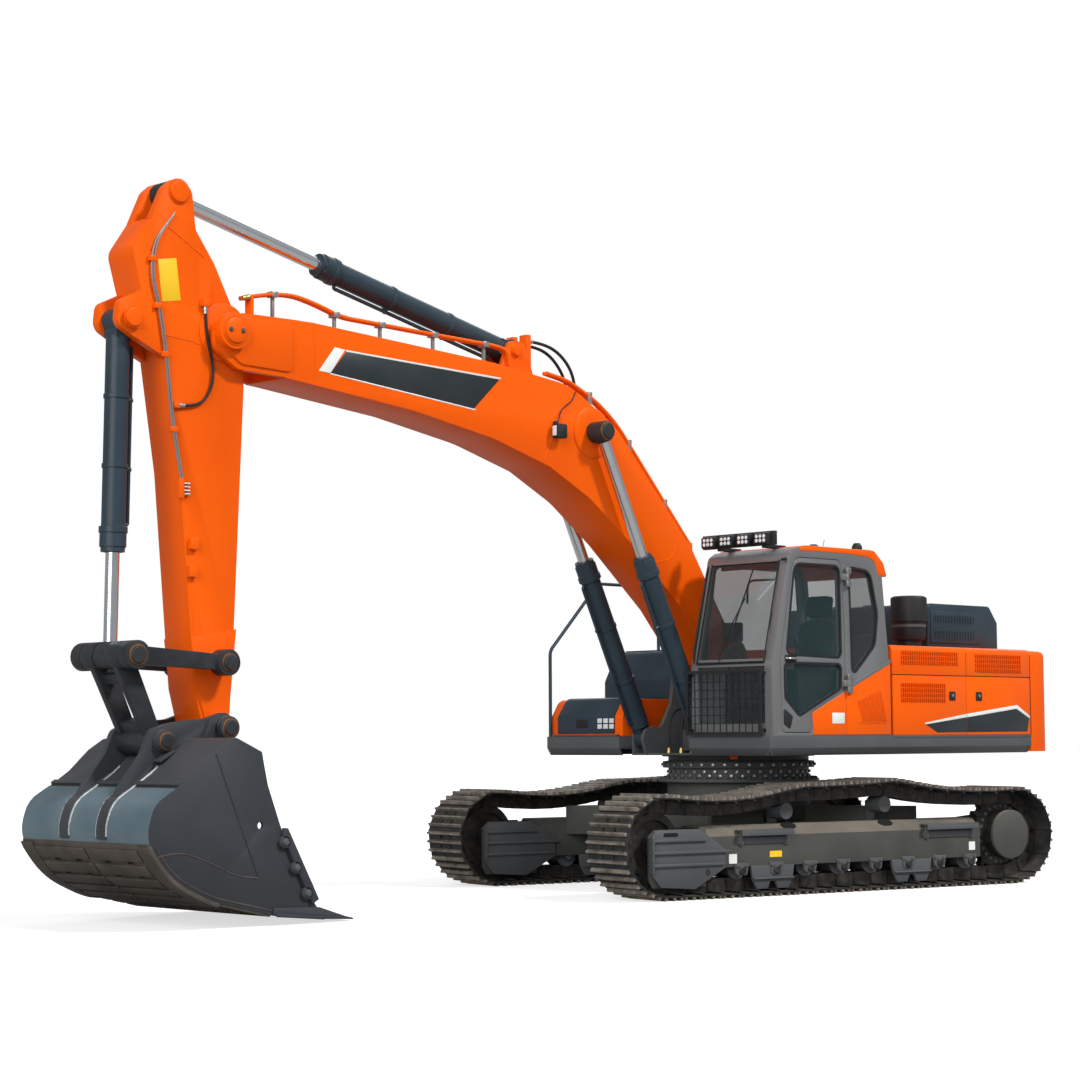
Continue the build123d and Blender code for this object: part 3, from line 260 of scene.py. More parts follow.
# Near-black of the dark joints between covers, also used as painted shade in the openings of slots, louvres
# and holes.
JOINT_DARK_AND_HOLE_SHADE = Finish("inside_dark", "grey_paint", (0.004, 0.004, 0.004), (0.007, 0.007, 0.007), 0.8)
LENS = Finish(
    "lamp_lens", "glass", (0.62, 0.66, 0.68), (0.72, 0.75, 0.77), 0.12, coat=0.8, patch=20, bump=0.3,
    grain=60,
)
WHITE = Finish("white_plate", "orange_paint", (0.72, 0.72, 0.7), (0.66, 0.66, 0.64), 0.4)
YELLOW = Finish("yellow_plate", "orange_paint", (0.85, 0.52, 0.02), (0.8, 0.48, 0.02), 0.4)
PLATE = Finish("dark_plate", "black_plastic", (0.018, 0.024, 0.028), (0.024, 0.03, 0.034), 0.35, coat=0.1)
CLOTH = Finish(
    "seat_weave", "seat_cloth", (0.022, 0.026, 0.03), (0.04, 0.044, 0.05), 0.9, patch=60, bump=0.7,
    grain=700,
)
GLASS = Pane(
    "cab_glass_tint", "glass", (0.02, 0.06, 0.065), (0.03, 0.075, 0.08), 0.04, coat=0.2, bump=0.0, alpha=0.2,
)
SEEN_GLASS = Pane(
    "windscreen_tint", "glass", (0.03, 0.038, 0.04), (0.04, 0.05, 0.052), 0.04, bump=0.0, alpha=0.34,
)


def rounded(points: Sequence[Point], steps: int = 6) -> list[tuple[float, float]]:
    """Outline with its corners rounded where a point has a third value, its radius.

    Args:
        points: outline points (a, b) or (a, b, radius).
        steps: segments of each rounded corner.
    Returns:
        The outline's plain points.
    """
    out: list[tuple[float, float]] = []
    count = len(points)
    for i, point in enumerate(points):
        here = Vector(point[:2])
        if len(point) == 2:
            out.append((here.x, here.y))
            continue
        before, after = points[i - 1], points[(i + 1) % count]
        first, second = Vector(before[:2]) - here, Vector(after[:2]) - here
        half = first.angle(second) / 2
        reach = point[2] / math.tan(half)
        for arm, other in ((first, before), (second, after)):
            reach = min(reach, arm.length * (0.98 if len(other) == 2 else 0.49))
        middle = here + (first.normalized() + second.normalized()).normalized() * (reach / math.cos(half))
        start = here + first.normalized() * reach - middle
        end = here + second.normalized() * reach - middle
        sweep = math.atan2(start.x * end.y - start.y * end.x, start.dot(end))
        for k in range(steps + 1):
            spot = middle + Matrix.Rotation(sweep * k / steps, 2) @ start
            out.append((spot.x, spot.y))
    return out


def oblong(a0: float, a1: float, b0: float, b1: float, radius: float = 0.0) -> list[Point]:
    """Four corners of an oblong, with a radius for each where it is rounded."""
    return [(a, b, radius) if radius else (a, b) for a, b in ((a0, b0), (a1, b0), (a1, b1), (a0, b1))]


def frame_along(direction: Vector) -> Matrix:
    """Rotation whose Z runs along a direction.

    Args:
        direction: any vector of some length.
    Returns:
        The rotation as a 4 x 4 matrix.
    """
    return direction.to_track_quat("Z", "Y").to_matrix().to_4x4()


class Shape:
    """Mesh under construction, made of closed shells."""

    def __init__(self) -> None:
        """Start with no shell."""
        self.mesh = bmesh.new()

    def loft(self, rings: Sequence[Sequence[Vector]], close: bool = False) -> "Shape":
        """Skin rings of equal counts, capped at both ends or closed to a loop.

        Args:
            rings: rings of points.
            close: whether the last ring joins the first.
        Returns:
            The shape itself.
        """
        made = [[self.mesh.verts.new(p) for p in ring] for ring in rings]
        count = len(made[0])
        pairs = list(zip(made, made[1:])) + ([(made[-1], made[0])] if close else [])
        for low, high in pairs:
            for i in range(count):
                j = (i + 1) % count
                self.mesh.faces.new((low[i], low[j], high[j], high[i]))
        if not close:
            self.mesh.faces.new(made[0][::-1])
            self.mesh.faces.new(made[-1])
        return self

    def prism(self, points: Sequence[Point], low: float, high: float, across: Across = Across.Y) -> "Shape":
        """Outline pushed between two places of an axis.

        Args:
            points: outline in the two other axes, in their order.
            low: first place.
            high: last place.
            across: the axis.
        Returns:
            The shape itself.
        """
        flat = rounded(points)

        def ring(place: float) -> list[Vector]:
            """Outline at one place."""
            spots = []
            for a, b in flat:
                spot = [a, b]
                spot.insert(across.value, place)
                spots.append(Vector(spot))
            return spots

        return self.loft([ring(low), ring(high)])

    def plate(self, points: Sequence[Point], wall: float, rise: float) -> "Shape":
        """Outline in X and Z laid on a wall.

        Args:
            points: the outline.
            wall: Y of the wall.
            rise: how far it stands out.
        Returns:
            The shape itself.
        """
        return self.prism(points, wall - SINK, wall + rise)

    def box(self, x0: float, x1: float, y0: float, y1: float, z0: float, z1: float) -> "Shape":
        """Box between six limits."""
        return self.prism(oblong(x0, x1, y0, y1), z0, z1, Across.Z)

    def turned(self, profile: Sequence[Point], origin: Point, axis: Point, sides: int = 24) -> "Shape":
        """Profile of (radius, height) points turned about an axis.

        Args:
            profile: points from one end to the other.
            origin: where height 0 is.
            axis: direction of height.
            sides: facets round the axis.
        Returns:
            The shape itself.
        """
        place = Matrix.Translation(origin) @ frame_along(Vector(axis))
        rings = []
        for radius, height in profile:
            angles = [2 * math.pi * k / sides for k in range(sides)]
            rings.append(
                [place @ Vector((radius * math.cos(t), radius * math.sin(t), height)) for t in angles]
            )
        return self.loft(rings)

    def tube(self, points: Sequence[Point], radius: float, sides: int = 10, smooth: int = 5) -> "Shape":
        """Pipe along points, with its corners eased.

        Args:
            points: route of the pipe.
            radius: pipe's radius.
            sides: facets round it.
            smooth: steps of each eased corner.
        Returns:
            The shape itself.
        """
        route = [Vector(p) for p in points]
        line = [route[0]]
        for before, here, after in zip(route, route[1:], route[2:]):
            reach = min((here - before).length, (after - here).length) * 0.45
            start, end = here + (
                before - here
            ).normalized() * reach, here + (after - here).normalized() * reach
            for k in range(smooth + 1):
                u = k / smooth
                line.append(start * (1 - u) ** 2 + here * 2 * u * (1 - u) + end * u * u)
        line.append(route[-1])
        rings, up = [], None
        for k, spot in enumerate(line):
            ahead = line[min(k + 1, len(line) - 1)] - line[max(k - 1, 0)]
            ahead.normalize()
            if up is None:
                up = ahead.orthogonal().normalized()
            up = (up - ahead * up.dot(ahead)).normalized()
            side = ahead.cross(up)
            angles = [2 * math.pi * i / sides for i in range(sides)]
            rings.append([spot + up * math.cos(t) * radius + side * math.sin(t) * radius for t in angles])
        return self.loft(rings)

    def facing(self, middle: float) -> "Shape":
        """Add the mirror image across the plane of a given Y.

        Args:
            middle: Y of the plane.
        Returns:
            The shape itself.
        """
        copy = bmesh.ops.duplicate(
            self.mesh, geom=self.mesh.verts[:] + self.mesh.edges[:] + self.mesh.faces[:],
        )
        for item in copy["geom"]:
            if isinstance(item, bmesh.types.BMVert):
                item.co.y = 2 * middle - item.co.y
        return self

    def both(self) -> "Shape":
        """Add the mirror image across the X-Z plane."""
        return self.facing(0.0)

    def object(self, name: str, bevel: float = 0.0, turn: float = 0.0) -> bpy.types.Object:
        """Closed, outward and bevelled mesh object.

        Args:
            name: object's name.
            bevel: width of its eased edges.
            turn: rotation about Z in radians, for the undercarriage.
        Returns:
            The object.
        """
        bmesh.ops.remove_doubles(self.mesh, verts=self.mesh.verts, dist=1e-5)
        bmesh.ops.recalc_face_normals(self.mesh, faces=self.mesh.faces)
        if turn:
            bmesh.ops.rotate(
                self.mesh, verts=self.mesh.verts, cent=(0, 0, 0), matrix=Matrix.Rotation(turn, 3, "Z"),
            )
        return eased(self.mesh, name, bevel)

    def piece(
        self, name: str, body: str, finish: Finish, bevel: float = 0.0, turn: float = 0.0, slot: str = "",
        replaced: Iterable[str] = (),
    ) -> bpy.types.Object:
        """Object of the shape with its finish and body.

        Args:
            name: object's name.
            body: body that it rides on.
            finish: its finish.
            bevel: width of its eased edges.
            turn: rotation about Z in radians, for the undercarriage.
            slot: record slot, where it isn't the finish's own; not used.
            replaced: nodes that it stands for.
        Returns:
            The object.
        """
        return dress(self.object(name, bevel, turn), body, finish, replaced)


def eased(mesh: bmesh.types.BMesh, name: str, bevel: float) -> bpy.types.Object:
    """Turn a bmesh into an object, with bevelled edges and smooth shading up to 35 degrees.

    Args:
        mesh: the bmesh, which is freed.
        name: object's name.
        bevel: width of the eased edges, or 0.
    Returns:
        The object.
    """
    data = bpy.data.meshes.new(name)
    mesh.to_mesh(data)
    mesh.free()
    made = bpy.data.objects.new(name, data)
    bpy.context.scene.collection.objects.link(made)
    if bevel > 0.0:
        step = made.modifiers.new("ease", "BEVEL")
        step.width, step.segments, step.limit_method = bevel, 2, "ANGLE"
        step.angle_limit = math.radians(32)
        step.harden_normals = False
        made.data = settled(made)
        made.modifiers.clear()
    for polygon in made.data.polygons:
        polygon.use_smooth = True
    made.data.set_sharp_from_angle(angle=math.radians(35))
    return made


def settled(piece: bpy.types.Object) -> bpy.types.Mesh:
    """Plain mesh of an object with its modifiers applied."""
    graph = bpy.context.evaluated_depsgraph_get()
    return bpy.data.meshes.new_from_object(piece.evaluated_get(graph), depsgraph=graph)


def dress(
    piece: bpy.types.Object, body: str, finish: Finish, replaced: Iterable[str] = ()
) -> bpy.types.Object:
    """Give a piece its finish and body.

    Args:
        piece: the piece.
        body: body that it rides on.
        finish: its finish.
        replaced: nodes that it stands for.
    Returns:
        The piece.
    """
    piece.data.materials.clear()
    piece.data.materials.append(finish.material())
    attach(piece, body)
    if replaced:
        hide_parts(*replaced)
    log.info("%s on %s: %d faces", piece.name, body, len(piece.data.polygons))
    return piece


def repeater() -> bpy.types.NodeTree:
    """Tree that sets a template on every point, turned by the points' own attribute.

    Returns:
        The geometry node tree.
    """
    tree = bpy.data.node_groups.get("set_on_points")
    if tree:
        return tree
    tree = bpy.data.node_groups.new("set_on_points", "GeometryNodeTree")
    kinds = {"Points": "Geometry", "Template": "Object", "Size": "Float", "Finish": "Material"}
    for name, kind in kinds.items():
        tree.interface.new_socket(name, in_out="INPUT", socket_type="NodeSocket" + kind)
    tree.interface.new_socket("Pieces", in_out="OUTPUT", socket_type="NodeSocketGeometry")
    nodes, links = tree.nodes, tree.links
    start, end = nodes.new("NodeGroupInput"), nodes.new("NodeGroupOutput")
    template = nodes.new("GeometryNodeObjectInfo")
    turn = nodes.new("GeometryNodeInputNamedAttribute")
    turn.data_type = "FLOAT_VECTOR"
    turn.inputs["Name"].default_value = "turn"
    euler = nodes.new("FunctionNodeEulerToRotation")
    points = nodes.new("GeometryNodeMeshToPoints")
    put = nodes.new("GeometryNodeInstanceOnPoints")
    real = nodes.new("GeometryNodeRealizeInstances")
    paint = nodes.new("GeometryNodeSetMaterial")
    links.new(start.outputs["Points"], points.inputs["Mesh"])
    links.new(start.outputs["Template"], template.inputs["Object"])
    links.new(points.outputs["Points"], put.inputs["Points"])
    links.new(template.outputs["Geometry"], put.inputs["Instance"])
    links.new(turn.outputs["Attribute"], euler.inputs["Euler"])
    links.new(euler.outputs["Rotation"], put.inputs["Rotation"])
    links.new(start.outputs["Size"], put.inputs["Scale"])
    links.new(put.outputs["Instances"], real.inputs["Geometry"])
    links.new(real.outputs["Geometry"], paint.inputs["Geometry"])
    links.new(start.outputs["Finish"], paint.inputs["Material"])
    links.new(paint.outputs["Geometry"], end.inputs["Pieces"])
    return tree


def repeated(
    name: str,
    body: str,
    template: bpy.types.Object,
    places: Sequence[Point],
    turns: Sequence[Point],
    finish: Finish,
    turn: float = 0.0,
    replaced: Iterable[str] = (),
) -> bpy.types.Object:
    """One dressed mesh of a template set at many places by the node tree.

    Args:
        name: name of the result.
        body: body that it rides on.
        template: object that is repeated, and dropped by the caller.
        places: where its origin goes.
        turns: Euler turn at each place.
        finish: finish of all of them.
        turn: rotation about Z of the whole result, in radians.
        replaced: nodes that it stands for.
    Returns:
        The plain mesh object.
    """
    data = bpy.data.meshes.new(name + "_points")
    data.from_pydata([tuple(p) for p in places], [], [])
    layer = data.attributes.new("turn", "FLOAT_VECTOR", "POINT")
    for item, euler in zip(layer.data, turns):
        item.vector = euler
    holder = bpy.data.objects.new(name, data)
    bpy.context.scene.collection.objects.link(holder)
    step = holder.modifiers.new("repeat", "NODES")
    tree = repeater()
    step.node_group = tree
    values = {"Template": template, "Size": 1.0, "Finish": finish.material()}
    for item in tree.interface.items_tree:
        if item.in_out == "INPUT" and item.name in values:
            step[item.identifier] = values[item.name]
    mesh = settled(holder)
    holder.modifiers.clear()
    holder.data = mesh
    if turn:
        mesh.transform(Matrix.Rotation(turn, 4, "Z"))
    return dress(holder, body, finish, replaced)


def drop(*templates: bpy.types.Object) -> None:
    """Remove templates that have been used."""
    for item in templates:
        bpy.data.objects.remove(item)


def bolts(
    name: str, body: str, places: Sequence[Point], axis: Point, radius: float, turn: float = 0.0,
) -> None:
    """Hexagon bolt heads with washers at many places.

    Args:
        name: name of the piece.
        body: body it rides on.
        places: seats of the washers.
        axis: direction the heads point in.
        radius: radius of a head.
        turn: rotation about Z of them all, in radians.
    """
    head = Shape().turned([(radius * 1.35, 0), (radius * 1.35, radius * 0.2)], (0, 0, 0), UP, 10)
    head.turned([(radius, radius * 0.2), (radius, radius * 0.8), (radius * 0.8, radius)], (0, 0, 0), UP, 6)
    template = head.object("bolt_template")
    euler = tuple(frame_along(Vector(axis)).to_euler())
    repeated(name, body, template, places, [euler] * len(places), GREY, turn)
    drop(template)


def both_bolts(
    name: str, body: str, places: Sequence[Point], radius: float, turn: float = 0.0,
    sides: Sequence[Side] = tuple(Side),
) -> None:
    """Bolt heads that look outward on the left and, mirrored, on the right.

    Args:
        name: start of both pieces' names.
        body: body they ride on.
        places: seats of the washers on the left.
        radius: radius of a head.
        turn: rotation about Z of them all, in radians.
        sides: sides that get them.
    """
    for side in sides:
        spots = [(x, side.value * y, z) for x, y, z in places]
        bolts(f"{name}_{side.name.lower()}", body, spots, (0, side.value, 0), radius, turn)


def softened(node: str, body: str, finish: Finish, bevel: float) -> None:
    """Stand-in for a node with the same shape and eased edges.

    Args:
        node: the node.
        body: body it rides on.
        finish: its finish.
        bevel: width of its eased edges.
    """
    mesh = bmesh.new()
    mesh.from_mesh(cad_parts[node].data)
    bmesh.ops.remove_doubles(mesh, verts=mesh.verts, dist=2e-5)
    bmesh.ops.dissolve_limit(
        mesh, angle_limit=math.radians(0.6), use_dissolve_boundaries=False, verts=mesh.verts,
        edges=mesh.edges,
    )
    made = eased(mesh, node + "_eased", bevel)
    dress(made, body, finish, replaced=[node])


def paint(node: str, finish: Finish) -> None:
    """Give a node that stays its finish."""
    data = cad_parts[node].data
    data.materials.clear()
    data.materials.append(finish.material())


@dataclass
class Undercarriage:
    """Tracks, their frames and the middle, turned under the house."""

    swing: float = math.radians(-10.4)
    gauge: float = 2.74
    idler_x: float = 2.12
    sprocket_x: float = -2.15
    pitch: float = 0.216
    teeth: int = 22
    shoe_half: float = 0.3
    to_shoe: float = 0.05
    to_rail: float = 0.079
    plate: float = 0.012
    grouser: float = 0.03
    supports: tuple = ((0.6, 0.063, 0.08), (-0.6, 0.1, 0.012), (-2.15, 0.0, 0.055))
    frame_half: float = 0.18
    axle: float = 0.4754

    @property
    def outer(self) -> float:
        """Y of the left frame's outer wall."""
        return self.gauge / 2 + self.frame_half

    def build(self) -> None:
        """Build every piece of the undercarriage."""
        self.tracks()
        for side in ("left", "right"):
            softened(f"track_frame_{side}", "undercarriage", FRAME_GREY, 0.006)
            paint(f"idler_{side}", CHAIN)
            paint(f"sprocket_{side}", CHAIN)
            paint(f"rollers_{side}", GREY)
        softened("carbody", "undercarriage", FRAME_GREY, 0.008)
        paint("swing_bearing", GREY)
        self.frame_guards()
        self.frame_steps()
        self.roller_ends()
        self.plates()
        self.ring_bolts()

    def put(self, shape: Shape, name: str, finish: Finish, bevel: float = 0.0, slot: str = "") -> None:
        """Mirror a shape to the other side, turn it with the undercarriage and dress it.

        Args:
            shape: the shape, on the left.
            name: name of the piece.
            finish: its finish.
            bevel: width of its eased edges.
            slot: record slot, where it isn't the finish's own; passed on to piece, which does not use it.
        """
        shape.both().piece(name, "undercarriage", finish, bevel, self.swing, slot)

    def pins(self) -> list[tuple[float, float]]:
        """Pin places along the chain, from under the sprocket forward.

        Returns:
            (x, z) of every pin.
        """
        wrap = self.teeth / 2
        radius = self.pitch / (2 * math.sin(math.pi / wrap))
        axle = radius + self.to_shoe + self.plate + self.grouser
        top = axle + radius
        run: list[tuple[float, float]] = []
        start = (self.idler_x, top)
        for x, lift, sag in self.supports:
            end = (x, top + lift)
            for i in range(40):
                u = i / 40
                run.append((
                    start[0] + (end[0] - start[0]) * u,
                    start[1] + (end[1] - start[1]) * u - 4 * sag * u * (1 - u),
                ))
            start = end
        run.append(start)
        lengths = [math.dist(a, b) for a, b in zip(run, run[1:])]
        bottom, half = self.idler_x - self.sprocket_x, self.pitch * wrap / 2
        total = bottom + 2 * half + sum(lengths)
        count = round(total / self.pitch)
        found = []
        for i in range(count):
            s = total * i / count
            if s < bottom:
                found.append((self.sprocket_x + s, axle - radius))
            elif s < bottom + half:
                turn = math.pi * (s - bottom) / half
                found.append((self.idler_x + radius * math.sin(turn), axle - radius * math.cos(turn)))
            elif s < bottom + half + sum(lengths):
                s -= bottom + half
                step = 0
                while s > lengths[step]:
                    s -= lengths[step]
                    step += 1
                a, b = run[step], run[step + 1]
                u = s / lengths[step]
                found.append((a[0] + (b[0] - a[0]) * u, a[1] + (b[1] - a[1]) * u))
            else:
                turn = math.pi * (s - bottom - half - sum(lengths)) / half
                found.append((self.sprocket_x - radius * math.sin(turn), axle + radius * math.cos(turn)))
        return found

    def shoe(self) -> tuple[bpy.types.Object, bpy.types.Object]:
        """One shoe whose hooked edge reaches under the next, and its grousers, at the link's first pin.

        Returns:
            The plate's and the grousers' templates.
        """
        low = self.to_shoe
        high = low + self.plate
        tip = high + self.grouser
        p, half = self.pitch, self.shoe_half
        section = [
            (0.002, low), (p - 0.012, low), (p + 0.006, low - 0.012), (p + 0.03, low - 0.024),
            (p + 0.034, low - 0.016), (p + 0.012, low + 0.002), (p - 0.004, high), (0.002, high),
        ]
        body = Shape().prism(section, -half, half)
        ribs = Shape()
        for start in (0.003, p / 2 - 0.021, p - 0.045):
            trim = 0.004 if start > 0.05 and start < 0.1 else 0.014
            flat = [
                (start, high - 0.002), (start + 0.012, tip), (start + 0.026, tip),
                (start + 0.038, high - 0.002),
            ]
            ribs.prism(flat, -half + trim, half - trim)
        return body.object("shoe_template"), ribs.object("grouser_template")

    def link(self) -> bpy.types.Object:
        """One pair of chain links with its pin."""
        body = Shape()
        p, low = self.pitch, -self.to_rail
        for inner, outer in ((0.05, 0.072), (0.072, 0.094)):
            for sign in (-1, 1):
                near, far = sorted((sign * inner, sign * outer))
                start = -0.035 if inner < 0.06 else 0.02
                end = p - 0.03 if inner < 0.06 else p + 0.035
                flat = [
                    (start, low + 0.02), (start + 0.02, low), (end - 0.02, low), (end, low + 0.02),
                    (end, 0.03), (end - 0.03, 0.049), (start + 0.03, 0.049), (start, 0.03),
                ]
                body.prism(flat, near, far)
        body.turned([(0.024, -0.1), (0.024, 0.1)], (0, 0, 0), SIDEWAYS, 10)
        return body.object("link_template")

    def tracks(self) -> None:
        """Both chains with shoes, grousers, links and shoe bolts, by the repeating tree."""
        pins = self.pins()
        shoe, grousers = self.shoe()
        link = self.link()
        bolt = Shape()
        high = self.to_shoe + self.plate
        for u in (0.062, self.pitch - 0.062):
            for v in (-0.085, 0.085):
                bolt.turned([(0.017, high), (0.017, high + 0.012)], (u, v, 0), UP, 6)
        bolt_template = bolt.object("shoe_bolt_template")
        parts = (
            ("shoes", shoe, TRACK), ("grousers", grousers, TIPS), ("links", link, CHAIN),
            ("shoe_bolts", bolt_template, CHAIN),
        )
        for side in Side:
            y = side.value * self.gauge / 2
            places, turns = [], []
            for a, b in zip(pins, pins[1:] + pins[:1]):
                places.append((a[0], y, a[1]))
                turns.append((math.pi, -math.atan2(b[1] - a[1], b[0] - a[0]), 0.0))
            word = side.name.lower()
            for name, template, finish in parts:
                shown = [f"track_{word}"] if name == "shoes" else ()
                repeated(
                    f"{name}_{word}", "undercarriage", template, places, turns, finish, self.swing,
                    replaced=shown,
                )
        drop(shoe, grousers, link, bolt_template)

    def frame_guards(self) -> None:
        """Idler guards with their ribs and slot, the slot and the shoulder's holes drawn as painted shade,
        and the chain guides under the frame.
        """
        outer = self.outer
        guard, guides, shade = Shape(), Shape(), Shape()
        guard.prism([
            (2.225, 0.24), (2.12, 0.115), (1.74, 0.09), (1.4, 0.27), (1.4, 0.44), (1.68, 0.615),
            (2.17, 0.615), (2.225, 0.55),
        ], outer - 0.002, outer + 0.03)
        for z, rear in ((0.512, 1.62), (0.405, 1.36), (0.295, 1.42)):
            guard.box(rear, 2.215, outer + 0.028, outer + 0.052, z, z + 0.026)
        guard.box(2.2, 2.222, outer + 0.028, outer + 0.052, 0.24, 0.56)
        # Dark oblong on the guard: painted shade of its slot's opening.
        shade.prism(oblong(1.93, 2.09, 0.558, 0.592, 0.015), outer + 0.029, outer + 0.0315)
        for x0, x1 in ((0.586, 1.09), (-1.102, -0.599)):
            middle = (x0 + x1) / 2
            flat = [
                (x0, 0.272), (x1, 0.272), (x1 - 0.02, 0.16), (x1 - 0.07, 0.062), (middle + 0.06, 0.062),
                (middle + 0.03, 0.13), (middle - 0.03, 0.13), (middle - 0.06, 0.062), (x0 + 0.07, 0.062),
                (x0 + 0.02, 0.16),
            ]
            guides.prism(flat, outer - 0.03, outer + 0.004)
            guides.box(x0 + 0.02, x1 - 0.02, outer + 0.003, outer + 0.03, 0.15, 0.165)

        def hole(x: float, lift: float) -> list[Vector]:
            """Oval outline on the frame's sloping shoulder."""
            angles = [2 * math.pi * k / 20 for k in range(20)]
            lean = [(0.09 * math.cos(t), 0.035 * math.sin(t), -0.033 * math.sin(t)) for t in angles]
            return [Vector((x + u, outer - 0.085 + v, 0.619 + w + lift)) for u, v, w in lean]

        # Dark ovals on the sloping shoulder: painted shade of the holes.
        for x in (0.58, -0.6):
            shade.loft([hole(x, -0.01), hole(x, 0.002)])
        for name, shape in (("guards", guard), ("guides", guides)):
            self.put(shape.facing(self.gauge / 2), f"frame_{name}", GREY, 0.004)
        self.put(shade, "frame_slots", JOINT_DARK_AND_HOLE_SHADE)

    def frame_steps(self) -> None:
        """Two bolted steps on each side and the final drives' cover discs."""
        outer = self.outer
        steps, discs = Shape(), Shape()
        for x0, x1 in ((0.64, 1.24), (-1.66, -1.0)):
            steps.prism(oblong(x0, x1, 0.6, 0.585), outer - 0.04, outer + 0.075)
            steps.box(x0, x1, outer + 0.06, outer + 0.075, 0.545, 0.59)
            for x in (x0 + 0.02, x1 - 0.06):
                steps.prism(oblong(x, x + 0.04, 0.46, 0.59), outer - 0.002, outer + 0.02)
            steps.box(x0, x1, outer - 0.002, outer + 0.012, 0.47, 0.53)
        discs.turned(
            [(0.236, 0.0), (0.236, 0.03), (0.228, 0.034), (0.02, 0.036)],
            (-2.1, self.gauge / 2 + 0.2, self.axle), SIDEWAYS, 48,
        )
        self.put(steps, "frame_steps", GREY, 0.004)
        self.put(discs, "drive_covers", FRAME_GREY)
        ring = []
        for k in range(24):
            t = 2 * math.pi * k / 24
            ring.append((
                self.sprocket_x + 0.275 * math.cos(t), self.gauge / 2 + 0.038,
                self.axle + 0.275 * math.sin(t),
            ))
        spots = [(x, outer + 0.02, z) for x in (0.68, 1.2, -1.62, -1.04) for z in (0.49, 0.55)]
        for side in Side:
            both_bolts("drive_bolts", "undercarriage", ring, 0.015, self.swing, [side])
            both_bolts("step_bolts", "undercarriage", spots, 0.012, self.swing, [side])

    def roller_ends(self) -> None:
        """Forked brackets with bolts at each lower roller's shaft."""
        outer = self.outer
        caps, hubs = Shape(), Shape()
        ends: list[Point] = []
        for i in range(9):
            x = 1.6 - 0.4 * i
            caps.prism(
                [(x - 0.08, 0.3), (x + 0.08, 0.3), (x + 0.06, 0.19, 0.03), (x - 0.06, 0.19, 0.03)],
                outer - 0.02, outer + 0.014,
            )
            hubs.turned(
                [(0.038, 0.0), (0.038, 0.012), (0.03, 0.018)], (x, outer + 0.013, 0.232), SIDEWAYS, 16,
            )
            ends += [(x - 0.052, outer + 0.014, 0.276), (x + 0.052, outer + 0.014, 0.276)]
        self.put(caps, "roller_brackets", GREY, 0.004)
        self.put(hubs, "roller_hubs", CHAIN, 0.0, slot="grey_paint")
        both_bolts("roller_bolts", "undercarriage", ends, 0.014, self.swing)

    def plates(self) -> None:
        """Small blank plates on the frames."""
        outer = self.outer
        marks = Shape().box(0.73, 0.87, outer - SINK, outer + 0.003, 0.345, 0.4)
        self.put(marks, "side_mark", YELLOW)
        marks = Shape().box(1.25, 1.34, outer - SINK, outer + 0.003, 0.3, 0.385)
        marks.box(-1.67, -1.59, outer - SINK, outer + 0.003, 0.335, 0.415)
        self.put(marks, "tie_marks", WHITE)

    def ring_bolts(self) -> None:
        """Turntable flanges with their rings of bolts."""
        Shape().turned(
            [(0.64, 0.999), (0.79, 1.0), (0.79, 1.03), (0.72, 1.036)], (0, 0, 0), UP, 64,
        ).piece("turntable_flange", "undercarriage", GREY, 0.003)
        Shape().turned(
            [(0.69, 1.135), (0.745, 1.137), (0.745, 1.2), (0.69, 1.205)], (0, 0, 0), UP, 64,
        ).piece("turntable_race", "house", GREY, 0.003)
        edge, rim = [], []
        for k in range(44):
            t = 2 * math.pi * k / 44
            edge.append((0.755 * math.cos(t), 0.755 * math.sin(t), 1.033))
            rim.append((0.725 * math.cos(t), 0.725 * math.sin(t), 1.2465))
        bolts("turntable_bolts", "undercarriage", edge, UP, 0.018)
        template = Shape().turned(
            [(0.016, 0.0), (0.016, 0.016), (0.01, 0.018)], (0, 0, 0), UP, 6,
        ).object("rim_bolt_template")
        places, turns = [], []
        count = 40
        for height, radius in ((1.168, 0.743), (1.06, 0.69), (1.1, 0.69)):
            for k in range(count):
                t = 2 * math.pi * (k + 0.5 * (height > 1.08)) / count
                places.append((radius * math.cos(t), radius * math.sin(t), height))
                turns.append(tuple(frame_along(Vector((math.cos(t), math.sin(t), 0))).to_euler()))
        repeated("race_bolts", "house", template, places[:count], turns[:count], STEEL)
        repeated("bearing_bolts", "undercarriage", template, places[count:], turns[count:], STEEL)
        drop(template)
        Shape().box(0.735, 0.75, 0.56, 0.64, 1.225, 1.26).piece("orange_reflector", "house", ORANGE, 0.002)


